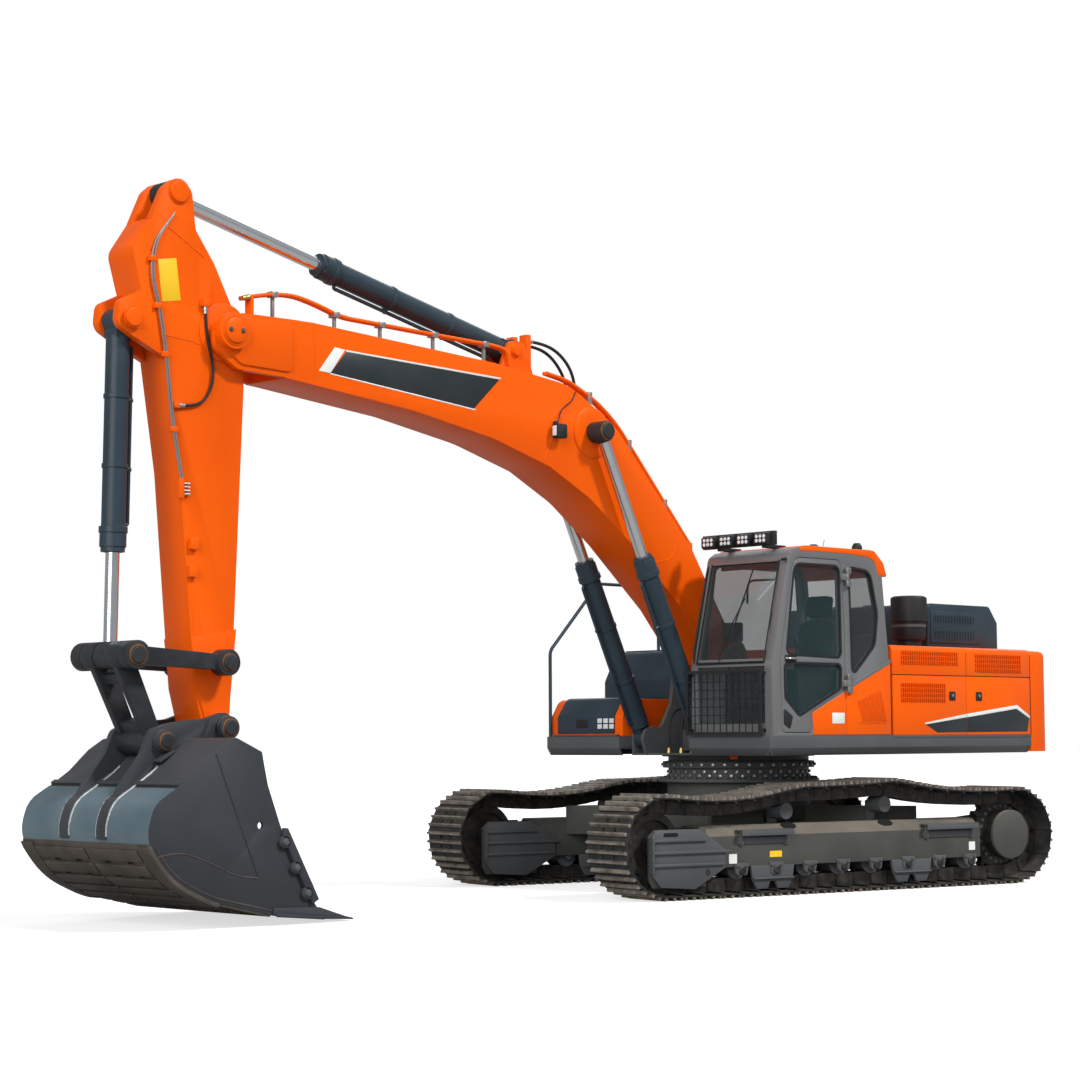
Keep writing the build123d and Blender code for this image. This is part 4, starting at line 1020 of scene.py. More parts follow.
@dataclass
class House:
    """Covers, counterweight, hood, tanks and toolbox on the house."""

    side: float = 1.49
    front: float = -0.55
    joint: float = -1.735
    rear: float = -2.83
    belt: float = 2.025
    top: float = 2.31
    deck: float = 1.445

    def build(self) -> None:
        """Build every piece of the house."""
        softened("machine_cover", "house", ORANGE, 0.012)
        softened("right_covers", "house", ORANGE, 0.004)
        softened("tanks", "house", BLUE_GREY, 0.012)
        softened("toolbox", "house", ORANGE, 0.014)
        softened("counterweight", "house", ORANGE, 0.014)
        softened("house_frame", "house", GREY, 0.005)
        softened("side_door_front_panel", "side_door_front", ORANGE, 0.004)
        softened("side_door_rear_panel", "side_door_rear", ORANGE, 0.004)
        softened("engine_hood_shell", "engine_hood", BLUE_GREY, 0.025)
        paint("engine_block", BLUE_GREY)
        paint("handrail", BLUE_GREY)
        self.louvres()
        self.seams()
        self.plates()
        self.hood()
        self.precleaner()
        self.toolbox()
        self.rails()
        self.hoses()

    def grille(
        self, name: str, body: str, x0: float, x1: float, z0: float, z1: float, columns: int, rows: int,
    ) -> None:
        """Field of pressed upright louvres on the left side.

        Args:
            name: name of the pieces.
            body: body they ride on.
            x0: rear end.
            x1: front end.
            z0: lower edge.
            z1: upper edge.
            columns: louvres in a row.
            rows: rows.
        """
        wide, tall = (x1 - x0) / columns, (z1 - z0) / rows
        half, rise = wide * 0.22, tall * 0.38
        lip = Shape().loft([
            [Vector((-half - 0.006, 0.0, -rise)), Vector((half, 0.012, -rise)), Vector((half, 0.0, -rise))],
            [Vector((-half - 0.006, 0.0, rise)), Vector((half, 0.012, rise)), Vector((half, 0.0, rise))],
        ]).object("lip_template")
        slot = Shape().box(half, half + wide * 0.3, -0.001, 0.0015, -rise, rise).object("slot_template")
        places = [
            (x0 + wide * (i + 0.5), self.side, z0 + tall * (k + 0.5))
            for i in range(columns)
            for k in range(rows)
        ]
        turns = [(0.0, 0.0, 0.0)] * len(places)
        repeated(name + "_lips", body, lip, places, turns, ORANGE)
        repeated(name + "_slots", body, slot, places, turns, SHADE)
        drop(lip, slot)

    def louvres(self) -> None:
        """Louvre fields of the left covers."""
        self.grille("cover_louvres_front", "house", -1.61, -0.69, 2.12, 2.26, 26, 3)
        self.grille("cover_louvres_rear", "house", -2.68, -1.89, 2.06, 2.25, 24, 4)
        self.grille("door_louvres", "side_door_front", -1.4, -0.68, 1.757, 1.95, 22, 4)

    def seams(self) -> None:
        """Dark joints between the covers, latches and their recesses."""
        side, line = self.side, 0.005
        fixed = Shape()
        for x0, x1, z0, z1 in (
            (self.rear - 0.004, self.rear + 0.004, self.deck, self.top - 0.06),
            (self.joint - line / 2, self.joint + line / 2, self.belt, self.top - 0.06),
            (self.rear, self.front, self.belt - 0.004, self.belt + 0.004),
        ):
            fixed.box(x0, x1, side - SINK, side + 0.001, z0, z1)
        fixed.piece("cover_joints", "house", JOINT_DARK_AND_HOLE_SHADE)
        for body, x in (("side_door_front", -1.5), ("side_door_rear", -1.94)):
            Shape().plate(
                oblong(x - 0.05, x + 0.05, 1.78, 1.87, 0.015), self.side, 0.006,
            ).piece(body + "_latch", body, BLACK, 0.003)
            Shape().turned(
                [(0.016, 0.0), (0.016, 0.008), (0.01, 0.01)], (x, self.side + 0.006, 1.83), SIDEWAYS, 16,
            ).piece(body + "_lock", body, STEEL)
        Shape().box(
            self.rear, -0.56, self.side - SINK, self.side + 0.004, self.deck - 0.028, self.deck - 0.004,
        ).piece("deck_lip", "house", GREY, 0.002)

    def plates(self) -> None:
        """Blank name plates on both side doors, with their pale edge."""
        side, rise = self.side, 0.003
        split = self.joint
        Shape().plate(
            [(-1.064, 1.547), (-1.25, 1.468), (split + 0.004, 1.47), (split + 0.004, 1.616)], side, rise,
        ).piece("front_badge", "side_door_front", PLATE, 0.001)
        Shape().plate(
            [(-1.045, 1.56), (-1.064, 1.547), (split + 0.004, 1.616), (split + 0.004, 1.65)], side, rise,
        ).piece("front_badge_edge", "side_door_front", WHITE, 0.001)
        Shape().plate(
            [(split - 0.004, 1.47), (-2.765, 1.474), (-2.8, 1.61), (-2.58, 1.705), (split - 0.004, 1.616)],
            side, rise,
        ).piece("rear_badge", "side_door_rear", PLATE, 0.001)
        Shape().plate([
            (split - 0.004, 1.616), (-2.58, 1.705), (-2.8, 1.61), (-2.815, 1.63), (-2.59, 1.742),
            (split - 0.004, 1.65),
        ], side, rise).piece("rear_badge_edge", "side_door_rear", WHITE, 0.001)

    def hood(self) -> None:
        """Raised panel, louvre fields and ribs of the engine hood."""
        Shape().prism(
            [(-1.74, 2.37), (-2.6, 2.37), (-2.72, 2.5), (-2.66, 2.7), (-1.76, 2.7)], 1.049, 1.06,
        ).piece("hood_panel", "engine_hood", BLUE_GREY, 0.006)
        slot = Shape().box(-0.008, 0.008, -0.001, 0.002, -0.036, 0.036).object("hood_slot_template")
        lip = Shape().loft([
            [Vector((0.008, 0, -0.04)), Vector((0.016, 0.01, -0.04)), Vector((0.03, 0, -0.04))],
            [Vector((0.008, 0, 0.04)), Vector((0.016, 0.01, 0.04)), Vector((0.03, 0, 0.04))],
        ]).object("hood_lip_template")
        places = [(-1.82 - 0.046 * i, 1.06, z) for z in (2.455, 2.615) for i in range(15)]
        turns = [(0.0, 0.0, 0.0)] * len(places)
        # Dark slots beside the lips: painted shade of the louvre openings.
        repeated("hood_slots", "engine_hood", slot, places, turns, JOINT_DARK_AND_HOLE_SHADE)
        repeated("hood_lips", "engine_hood", lip, places, turns, BLUE_GREY)
        drop(slot, lip)
        ribs = Shape()
        for y in (-0.6, -0.2, 0.2, 0.6):
            ribs.box(-2.7, -1.8, y - 0.05, y + 0.05, 2.768, 2.785)
        ribs.piece("hood_ribs", "engine_hood", BLUE_GREY, 0.006)

    def precleaner(self) -> None:
        """Drum of the air pre-cleaner on its stem, with a cap and a band."""
        place = (-1.35, 1.09, 2.56)
        profile = [
            (0.12, -0.25), (0.12, -0.19), (0.15, -0.17), (0.165, -0.12), (0.165, 0.0), (0.18, 0.01),
            (0.18, 0.235), (0.174, 0.25), (0.15, 0.262), (0.14, 0.25), (0.03, 0.252),
        ]
        Shape().turned(profile, place, UP, 48).piece(
            "precleaner_drum", "house", BLACK, replaced=["precleaner"],
        )
        Shape().turned(
            [(0.166, -0.05), (0.17, -0.048), (0.17, -0.025), (0.166, -0.023)], place, UP, 40,
        ).piece("precleaner_band", "house", GREY, slot="steel")

    def toolbox(self) -> None:
        """Dark lid over top and front, steps, lamps and vent of the toolbox on the right, the vent a black
        box of painted shade.
        """
        Shape().prism([
            (0.42, 1.79), (0.42, 1.824), (1.0, 1.824, 0.1), (1.137, 1.64, 0.06), (1.137, 1.475),
            (1.118, 1.475), (1.118, 1.62, 0.06), (0.99, 1.79, 0.1),
        ], -1.385, -0.6).piece("toolbox_lid", "house", BLUE_GREY, 0.012)
        Shape().box(1.119, 1.165, -1.44, -0.54, 1.446, 1.464).piece("toolbox_step", "house", GREY, 0.005)
        # Black box on the toolbox's front, on grey-painted metal: painted shade of the recessed vent.
        Shape().box(1.136, 1.142, -1.12, -0.96, 1.53, 1.61).piece(
            "toolbox_recess", "house", BLACK, 0.004, slot="grey_paint",
        )
        lamps = Shape()
        for y in (-0.82, -0.74, -0.66):
            lamps.box(1.136, 1.143, y, y + 0.06, 1.52, 1.565)
            lamps.box(1.136, 1.143, y, y + 0.06, 1.575, 1.62)
        lamps.piece("toolbox_lamps", "house", LENS, 0.003)
        treads = Shape()
        for k in range(9):
            treads.box(-0.5 + 0.075 * k, -0.46 + 0.075 * k, -1.4, -0.65, self.top, self.top + 0.006)
        treads.piece("tank_tread", "house", GREY, 0.002)
        Shape().turned(
            [(0.07, 0), (0.07, 0.05), (0.055, 0.062)], (-0.25, -0.62, self.top), UP, 24,
        ).piece("filler_cap", "house", BLACK, 0.003)

    def rails(self) -> None:
        """Guard rail on the right covers."""
        Shape().tube(
            [(-0.62, -1.36, self.top), (-0.62, -1.36, 2.62), (-1.55, -1.36, 2.62), (-1.55, -1.36, self.top)],
            0.016,
        ).piece("guard_rail", "house", BLUE_GREY)

    def hoses(self) -> None:
        """Hoses that arch between the boom's brackets, with their fittings."""
        for name, y in (("left", 0.18), ("middle", 0.04), ("right", -0.12)):
            route = [
                (0.52, y, 1.5003), (0.52, y, 1.64), (0.64, y, 1.72), (0.79, y, 1.69), (0.87, y, 1.56),
                (0.87, y, 1.2823),
            ]
            Hose(f"hose_foot_{name}", "house", route, 0.022).build()
        base = Shape()
        for y in (0.18, 0.04, -0.12):
            for x, z in ((0.52, 1.5003), (0.87, 1.2823)):
                base.turned([(0.02, 0), (0.02, 0.03), (0.016, 0.032), (0.016, 0.05)], (x, y, z), UP, 6)
        base.piece("foot_hose_fittings", "house", BRASS)


@dataclass
class Hose:
    """Rubber hose between two fixed ends."""

    node: str
    body: str
    route: Sequence[Point]
    diameter: float

    def build(self) -> None:
        data = bpy.data.curves.new(self.node + "_line", "CURVE")
        data.dimensions = "3D"
        line = data.splines.new("NURBS")
        line.points.add(len(self.route) - 1)
        for item, spot in zip(line.points, self.route):
            item.co = (*spot, 1.0)
        line.order_u = 3
        line.use_endpoint_u = True
        line.resolution_u = 12
        data.bevel_depth = self.diameter / 2
        data.bevel_resolution = 4
        data.use_fill_caps = True
        made = bpy.data.objects.new(self.node + "_rubber", data)
        bpy.context.scene.collection.objects.link(made)
        data.materials.append(RUBBER.material())
        bare = data.copy()
        bare.bevel_depth = 0.0
        probe = bpy.data.objects.new("probe", bare)
        bpy.context.scene.collection.objects.link(probe)
        mesh = settled(probe)
        drop(probe)
        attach(made, self.body)
        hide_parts(self.node)


@dataclass
class Cab:
    """Cab with its trim, lamps, guard and inside."""

    inner: float = 0.495
    outer: float = 1.49
    roof: float = 3.18

    def build(self) -> None:
        """Build every piece of the cab."""
        softened("cab_shell", "house", CAB_GREY, 0.014)
        softened("cab_door_frame", "cab_door", CAB_GREY, 0.006)
        paint("cab_glass", SEEN_GLASS)
        paint("cab_door_glass", GLASS)
        paint("front_guard", BLACK)
        self.side_panel()
        self.roof_cap()
        self.seals()
        self.lamps()
        self.door_trim()
        self.inside()
        self.mirrors()

    def side_panel(self) -> None:
        """Orange panel under the slanting line, with its slanted louvres and blank label."""
        outer, skin = self.outer, 0.006
        face = outer + skin
        made = Shape().plate([(-0.515, 1.452), (-0.515, 2.13), (0.155, 1.86), (0.155, 1.452)], outer, skin)
        made.plate([(0.158, 1.452), (0.158, 1.855), (0.655, 1.655), (0.64, 1.452)], outer, skin)
        made.piece("cab_side_panel", "house", ORANGE, 0.003)
        field = [(-0.46, 1.555, 0.02), (-0.03, 1.555, 0.02), (-0.03, 1.79, 0.02), (-0.42, 1.9, 0.02)]
        Shape().prism(field, face - 0.002, face + 0.004).piece("cab_vent_field", "house", ORANGE, 0.003)
        slits, fins = Shape(), Shape()
        y2 = face + 0.004
        for i in range(9):
            x = -0.44 + 0.043 * i
            low, top = 1.575, 1.875 - 0.0125 * i
            lean = (top - low) * 0.28
            slits.plate([(x, low), (x + 0.014, low), (x + 0.014 + lean, top), (x + lean, top)], y2, 0.001)
            fins.plate(
                [(x + 0.014, low), (x + 0.026, low), (x + 0.026 + lean, top), (x + 0.014 + lean, top)], y2,
                0.008,
            )
        slits.piece("cab_vent_slits", "house", SHADE)
        fins.piece("cab_vent_fins", "house", ORANGE, 0.002)
        Shape().box(
            0.19, 0.37, face - SINK, face + 0.002, 1.555, 1.655,
        ).piece("blank_label", "house", WHITE, 0.001)
        Shape().plate(
            [(-0.52, 2.13), (-0.52, 2.165), (0.155, 1.9), (0.155, 1.86)], outer, 0.01,
        ).piece("cab_belt", "house", CAB_GREY, 0.003)
        Shape().plate(
            [(1.06, 1.7, 0.02), (0.93, 1.62, 0.02), (0.97, 1.5, 0.02), (1.06, 1.55, 0.02)], outer, 0.004,
        ).piece("door_corner_recess", "cab_door", BLACK, 0.002)

    def roof_cap(self) -> None:
        """Orange roof cap that wraps down at the rear, with beacon, antenna and camera."""
        roof = self.roof
        outline = [
            (0.8, roof - 0.03), (0.8, roof + 0.01), (0.7, roof + 0.024, 0.03), (-0.30, roof + 0.024, 0.08),
            (-0.44, roof - 0.09, 0.06), (-0.49, roof - 0.22), (-0.36, roof - 0.22),
            (-0.31, roof - 0.09, 0.06), (-0.2, roof - 0.045, 0.05), (0.1, roof - 0.028, 0.1),
        ]
        Shape().prism(
            outline, self.inner - 0.006, self.outer + 0.006,
        ).piece("roof_cap", "house", ORANGE, 0.012)
        top = Shape().turned([(0.055, 0), (0.05, 0.03), (0.03, 0.045)], (0.3, 1.24, roof + 0.022), UP, 20)
        top.turned([(0.05, 0.0), (0.05, 0.05), (0.03, 0.085)], (-0.28, 1.3, roof + 0.02), UP, 20)
        top.box(-0.34, -0.18, 1.22, 1.42, roof + 0.015, roof + 0.035)
        top.turned([(0.003, 0), (0.003, 0.11)], (0.12, 1.2, roof + 0.02), (-0.3, 0, 1), 6)
        top.piece("roof_fittings", "house", BLACK, 0.004)

    def seals(self) -> None:
        """Rubber seals round the side windows."""
        loops = {
            "house": [
                [
                    (0.09, 3.03, 0.05), (-0.23, 3.0, 0.12), (-0.335, 2.6, 0.26), (-0.29, 2.3, 0.16),
                    (0.06, 1.995, 0.04),
                ]
            ],
            "cab_door": [
                [(1.01, 2.19, 0.06), (0.88, 3.03, 0.1), (0.235, 3.03, 0.06), (0.22, 2.17, 0.06)],
                [
                    (1.04, 2.11, 0.05), (0.22, 2.11, 0.05), (0.235, 1.88, 0.06), (0.835, 1.625, 0.04),
                    (1.035, 1.79, 0.06),
                ],
            ],
        }
        for body, outlines in loops.items():
            made = Shape()
            for outline in outlines:
                flat = rounded(outline)
                rings = []
                count = len(flat)
                for i, (x, z) in enumerate(flat):
                    before, after = Vector(flat[i - 1]), Vector(flat[(i + 1) % count])
                    along = (after - before).normalized()
                    out = Vector((along.y, -along.x)) * 0.011
                    rings.append([
                        Vector((x - out.x, self.outer - 0.012, z - out.y)),
                        Vector((x + out.x, self.outer - 0.012, z + out.y)),
                        Vector((x + out.x, self.outer + 0.004, z + out.y)),
                        Vector((x - out.x, self.outer + 0.004, z - out.y)),
                    ])
                made.loft(rings, close=True)
            made.piece(f"window_seals_{body}", body, BLACK)
        front = Shape()
        for y in (self.inner + 0.075, self.outer - 0.095):
            front.tube([(1.218, y, 2.13), (0.985, y, 3.06)], 0.008, 6)
        front.tube([(1.218, self.inner + 0.075, 2.118), (1.218, self.outer - 0.095, 2.118)], 0.01, 6)
        front.piece("windscreen_seals", "house", BLACK)

    def lamps(self) -> None:
        """Lamp bar with four lamps over the windscreen, their lenses and brackets."""
        shells, lenses = Shape(), Shape()
        y_from, y_to = 0.5, 1.39
        shells.box(1.0, 1.04, y_from, y_to, 3.2, 3.33)
        for y in (y_from + 0.15, y_to - 0.19):
            shells.box(0.7, 1.0, y, y + 0.04, 3.1803, 3.215)
        for i in range(4):
            y = y_from + 0.12 + i * (y_to - y_from - 0.24) / 3
            flat = [
                (1.03, 3.205), (1.085, 3.205, 0.01), (1.1, 3.22, 0.01), (1.1, 3.305, 0.01),
                (1.05, 3.32, 0.02), (1.03, 3.3),
            ]
            shells.prism(flat, y - 0.085, y + 0.085)
            for k in range(6):
                shells.box(1.015, 1.032, y - 0.07 + 0.026 * k, y - 0.06 + 0.026 * k, 3.215, 3.3)
            for row in (3.24, 3.28):
                for col in (-0.045, 0.0, 0.045):
                    lenses.turned(
                        [(0.017, 0), (0.017, 0.006), (0.01, 0.009)], (1.099, y + col, row), (1, 0, 0), 12,
                    )
        shells.piece("lamp_bar", "house", BLACK, 0.003, replaced=["light_bar"])
        lenses.piece("lamp_lenses", "house", LENS)

    def door_trim(self) -> None:
        """Handle with its recess, and the wiper."""
        Shape().plate(
            oblong(0.87, 1.035, 2.118, 2.182, 0.012), self.outer, 0.004,
        ).piece("handle_recess", "cab_door", BLACK, 0.002)
        Shape().tube([
            (0.885, self.outer + 0.003, 2.15), (0.9, self.outer + 0.03, 2.15),
            (1.0, self.outer + 0.03, 2.15), (1.02, self.outer + 0.003, 2.15),
        ], 0.009, 8).piece("door_handle", "cab_door", STEEL)
        wiper = Shape().tube([(1.225, 0.85, 2.13), (1.215, 0.9, 2.32), (1.1, 1.08, 2.72)], 0.006, 6)
        wiper.tube([(1.2, 1.0, 2.4), (1.045, 1.13, 2.98)], 0.008, 6)
        wiper.piece("wiper", "house", BLACK)

    def inside(self) -> None:
        """Seat, consoles with levers, screen and sun blind."""
        self.seat()
        softened("consoles", "house", BLACK, 0.02)
        made = Shape()
        for y in (0.6375, 1.3475):
            made.turned([(0.035, 0), (0.028, 0.05), (0.02, 0.07)], (0.69, y, 2.06), UP, 16)
            made.turned(
                [(0.018, 0), (0.026, 0.03), (0.024, 0.09), (0.012, 0.11)], (0.69, y, 2.25), (0.1, 0, 1), 12,
            )
        made.prism(oblong(0.72, 0.96, 2.32, 2.5, 0.02), 1.0, 1.03, Across.X)
        made.tube([(1.0, 0.82, 2.3), (1.03, 0.8, 2.1), (1.05, 0.78, 1.6)], 0.012, 8)
        made.piece("levers_and_screen", "house", BLACK, 0.003)
        Shape().box(0.86, 0.9, 0.6, 1.38, 3.0, 3.05).piece("sun_blind", "house", CLOTH, 0.008)

    def pad(
        self, name: str, foot: Vector, along: Vector, half: tuple[float, float], thick: float,
    ) -> bpy.types.Object:
        """Crowned pad whose sides pull in between its corners, with a piped seam.

        Args:
            name: name of the pad.
            foot: middle of its flat side.
            along: direction of its length, in the X-Z plane.
            half: half its width and half its length.
            thick: its thickness.
        Returns:
            The pad.
        """
        out = Vector(SIDEWAYS).cross(along) * -1
        flat = []
        for k in range(48):
            t = 2 * math.pi * k / 48
            u, v = (math.copysign(abs(f) ** 0.4, f) for f in (math.cos(t), math.sin(t)))
            flat.append((u * (1 - 0.05 * (1 - v * v)), v * (1 - 0.05 * (1 - u * u))))

        def ring(share: float, rise: float) -> list[Vector]:
            """The outline at one height, drawn in to a share of its size."""
            low = foot + out * rise * thick
            return [
                low + Vector((0, u * half[0] * share, 0)) + along * (v * half[1] * share)
                for u, v in flat
            ]

        levels = ((0.9, 0.0), (0.98, 0.14), (1.0, 0.4), (0.97, 0.68), (0.86, 0.88), (0.6, 1.0), (0.2, 1.04))
        body = Shape().loft([ring(share, rise) for share, rise in levels]).object(name)
        Shape().tube(
            [*ring(0.985, 0.62), ring(0.985, 0.62)[0]], 0.005, 6, 1,
        ).piece(name + "_piping", "house", BLACK, slot="seat_cloth")
        return body

    def seat(self) -> None:
        """Seat: cushion, back and head rest as crowned pads on a moulded base."""
        y = (self.inner + self.outer) / 2
        lean = Vector((-0.1, 0, 0.64)).normalized()
        pads = (
            ("seat_cushion", Vector((0.345, y, 1.83)), Vector((-1, 0, 0)), (0.26, 0.255), 0.13),
            ("seat_back", Vector((0.01, y, 2.25)), lean, (0.25, 0.32), 0.125),
            ("head_rest", Vector((-0.035, y, 2.685)), lean, (0.15, 0.105), 0.1),
        )
        for name, foot, along, half, thick in pads:
            cushion = self.pad(name, foot, along, half, thick)
            dress(cushion, "house", CLOTH, replaced=["seat"] if name == "seat_cushion" else ())
        base = Shape().prism(
            [(0.15, 1.5), (0.52, 1.5), (0.49, 1.6, 0.03), (0.5, 1.832), (0.17, 1.832), (0.18, 1.6, 0.03)],
            y - 0.19, y + 0.19,
        )
        base.prism(
            [(0.0, 1.99), (0.03, 1.9), (0.1, 1.84), (0.16, 1.84), (0.14, 1.88), (0.06, 1.95)], y - 0.2,
            y + 0.2,
        )
        base.piece("seat_base", "house", BLACK, 0.01)

    def mirrors(self) -> None:
        """Black pipe that runs up the front pillar, and the mirror's stalk on the cab's right side."""
        made = Shape().tube([
            (1.19, self.inner + 0.03, 2.1), (1.2, self.inner + 0.02, 2.2), (0.99, self.inner + 0.02, 3.02),
            (0.9, self.inner + 0.05, 3.12),
        ], 0.012, 8)
        made.tube([
            (0.35, self.inner - 0.045, 2.72), (0.35, self.inner - 0.045, 2.94),
            (0.0, self.inner - 0.045, 2.965), (-0.03, self.inner - SINK, 2.965),
        ], 0.011, 8)
        made.turned([(0.014, 0.0), (0.014, 0.05)], (1.02, self.outer - 0.03, 3.06), SIDEWAYS, 10)
        made.piece("pillar_pipe", "house", BLACK)


@dataclass
class Attachment:
    """Boom and arm with their pipes, plates, lamps and pins."""

    foot: Point = (0.405, 2.166)
    hub: Point = (2.29, 4.235)
    nose: Point = (6.407, 4.711)
    boom_half: float = 0.27
    arm_half: float = 0.175

    def build(self) -> None:
        """Build boom, arm and what they carry."""
        softened("boom_frame", "boom", ORANGE, 0.008)
        softened("arm_frame", "arm", ORANGE, 0.007)
        self.boom_pipes()
        self.boom_plates()
        self.arm_details()
        self.pins()
        self.hoses()

    def boom_pipes(self) -> None:
        """Two steel pipes raised along the boom's top on silver clamps, with their end fittings."""
        pipes, clamps, ends = Shape(), Shape(), Shape()
        for y in (0.214, 0.25):
            pipes.tube(
                [(0.95, y, 3.27), (1.94, y, 4.345), (2.2, y, 4.53), (2.58, y, 4.695), (2.85, y, 4.735)],
                0.019,
            )
            pipes.tube([
                (3.3, y, 4.74), (3.34, y, 4.895), (3.492, y, 4.917), (4.231, y, 4.936), (4.746, y, 4.952),
                (5.244, y, 4.967), (5.5, y, 5.04), (5.756, y, 5.09), (6.02, y, 5.063), (6.221, y, 5.015),
            ], 0.017)
            ends.turned(
                [(0.022, 0), (0.022, 0.035), (0.019, 0.04), (0.019, 0.07)], (6.205, y, 5.019),
                (0.97, 0, -0.24), 12,
            )
        for x, z in ((1.3, 3.63), (1.78, 4.16), (2.3, 4.56)):
            clamps.box(x - 0.025, x + 0.025, 0.183, 0.268, z - 0.06, z + 0.055)
        for x, low, z in (
            (3.6, 4.72, 4.918), (4.2, 4.75, 4.935), (4.8, 4.79, 4.953), (5.3, 4.82, 4.98),
            (5.95, 4.83, 5.072),
        ):
            clamps.box(x - 0.012, x + 0.012, 0.21, 0.24, low, z)
            clamps.box(x - 0.03, x + 0.03, 0.183, 0.268, z - 0.024, z + 0.024)
        pipes.piece("boom_pipes", "boom", ORANGE)
        clamps.piece("boom_clamps", "boom", STEEL, 0.004)
        ends.piece("boom_pipe_ends", "boom", BRASS)
        brackets = Shape().box(6.17, 6.2, 0.184, 0.268, 4.8, 5.04)
        brackets.box(0.93, 0.99, 0.183, 0.268, 3.2, 3.29)
        brackets.piece("pipe_brackets", "boom", ORANGE, 0.004)

    def boom_plates(self) -> None:
        """Blank badge, nose doubler, pin rings, work lamp and weld seams on both sides."""
        y = self.boom_half
        Shape().plate(
            [(5.205, 4.675), (5.375, 4.478), (3.76, 4.325), (3.45, 4.615)], y, 0.003,
        ).both().piece("boom_badge", "boom", PLATE, 0.001)
        edge = Shape().plate([(5.329, 4.7), (5.22, 4.69), (5.375, 4.478), (5.5, 4.484)], y, 0.003)
        edge.plate([(5.22, 4.69), (5.205, 4.675), (3.45, 4.615), (3.43, 4.632)], y, 0.003)
        edge.plate([(5.375, 4.478), (5.38, 4.468), (3.75, 4.312), (3.73, 4.325), (3.76, 4.325)], y, 0.003)
        edge.both().piece("boom_badge_edge", "boom", WHITE, 0.001)
        doubler = Shape().plate([
            (5.784, 4.44, 0.05), (6.3, 4.455, 0.1), (6.5, 4.6, 0.12), (6.5, 4.77, 0.12), (6.3, 4.84, 0.08),
            (5.784, 4.845, 0.05),
        ], y, 0.016)
        doubler.turned(
            [(0.235, 0.0), (0.235, 0.012), (0.19, 0.02), (0.11, 0.02)], (self.hub[0], y - SINK, self.hub[1]),
            SIDEWAYS, 40,
        )
        doubler.turned([(0.25, 0.0), (0.25, 0.012)], (self.foot[0], y - SINK, self.foot[1]), SIDEWAYS, 40)
        doubler.both().piece("boom_doublers", "boom", ORANGE, 0.003)
        seam = Shape().tube([(1.55, y, 3.06), (1.2, y, 3.12), (1.12, y, 3.4)], 0.005, 6)
        seam.tube([(5.55, y, 4.42), (5.55, y, 4.86)], 0.005, 6)
        seam.tube([(2.9, y, 3.93), (2.72, y, 4.3), (2.5, y, 4.6)], 0.005, 6)
        seam.both().piece("boom_seams", "boom", ORANGE)
        lamp, glass = Shape(), Shape()
        lamp.prism(oblong(2.7, 2.83, 4.14, 4.27, 0.02), y + 0.03, y + 0.1)
        lamp.box(2.75, 2.79, y - SINK, y + 0.04, 4.24, 4.3)
        glass.box(2.828, 2.834, y + 0.04, y + 0.09, 4.16, 4.25)
        lamp.both().piece("boom_lamps", "boom", BLACK, 0.008)
        glass.both().piece("boom_lamp_glass", "boom", LENS, 0.002)
        Shape().tube(
            [(2.76, y + 0.03, 4.27), (2.7, y + 0.02, 4.42), (2.56, y + 0.012, 4.5), (2.5, y + 0.008, 4.6)],
            0.006, 6,
        ).both().piece("lamp_wires", "boom", BLACK)

    def arm_details(self) -> None:
        """Manifold, four steel lines, brackets, blank plate, doublers and pipes of the arm."""
        y = self.arm_half
        lines = Shape()
        for k in range(2):
            lines.tube([
                (6.90, y + 0.02, 5.62), (7.1 - 0.02 * k, y + 0.02, 5.37), (7.13 - 0.02 * k, y + 0.02, 5.1),
                (7.045 - 0.02 * k, y + 0.02, 4.82), (6.985 - 0.02 * k, y + 0.02, 4.48),
                (6.93 - 0.02 * k, y + 0.02, 4.0), (6.83 - 0.02 * k, y + 0.02, 3.5),
            ], 0.008, 8)
        for k in range(4):
            lines.tube([(6.83, y + 0.018, 3.46 - 0.028 * k), (6.74, y + 0.018, 3.46 - 0.028 * k)], 0.009, 8)
        lines.piece("arm_lines", "arm", STEEL, slot="bare_pipe")
        blocks = Shape().box(6.80, 6.85, y - SINK, y + 0.035, 3.34, 3.5)
        for x, z in ((6.70, 2.94), (6.71, 2.72)):
            blocks.box(x - 0.04, x + 0.04, y - SINK, y + 0.045, z, z + 0.09)
        for x, z in ((6.975, 4.45), (7.11, 5.2), (6.89, 3.86), (7.05, 4.83)):
            blocks.box(x - 0.03, x + 0.04, y - SINK, y + 0.032, z, z + 0.045)
        blocks.piece("arm_blocks", "arm", ORANGE, 0.004)
        Shape().plate(
            [(7.05, 5.226), (6.874, 5.26), (6.827, 4.923), (7.006, 4.892)], y, 0.003,
        ).piece("arm_blank_plate", "arm", YELLOW, 0.001)
        doubler = Shape().plate(
            [(6.27, 2.32), (6.71, 2.24), (6.66, 1.86), (6.57, 1.6, 0.1), (6.44, 1.42, 0.1), (6.34, 1.62)], y,
            0.012,
        )
        doubler.turned([(0.24, 0.0), (0.24, 0.014)], (self.nose[0], y - SINK, self.nose[1]), SIDEWAYS, 40)
        doubler.both().piece("arm_doublers", "arm", ORANGE, 0.003)
        seam = Shape().tube([(6.97, y, 4.63), (6.6, y, 4.6), (6.3, y, 4.4)], 0.005, 6)
        seam.tube([(6.6, y, 5.3), (6.95, y, 5.5)], 0.005, 6)
        seam.both().piece("arm_seams", "arm", ORANGE)

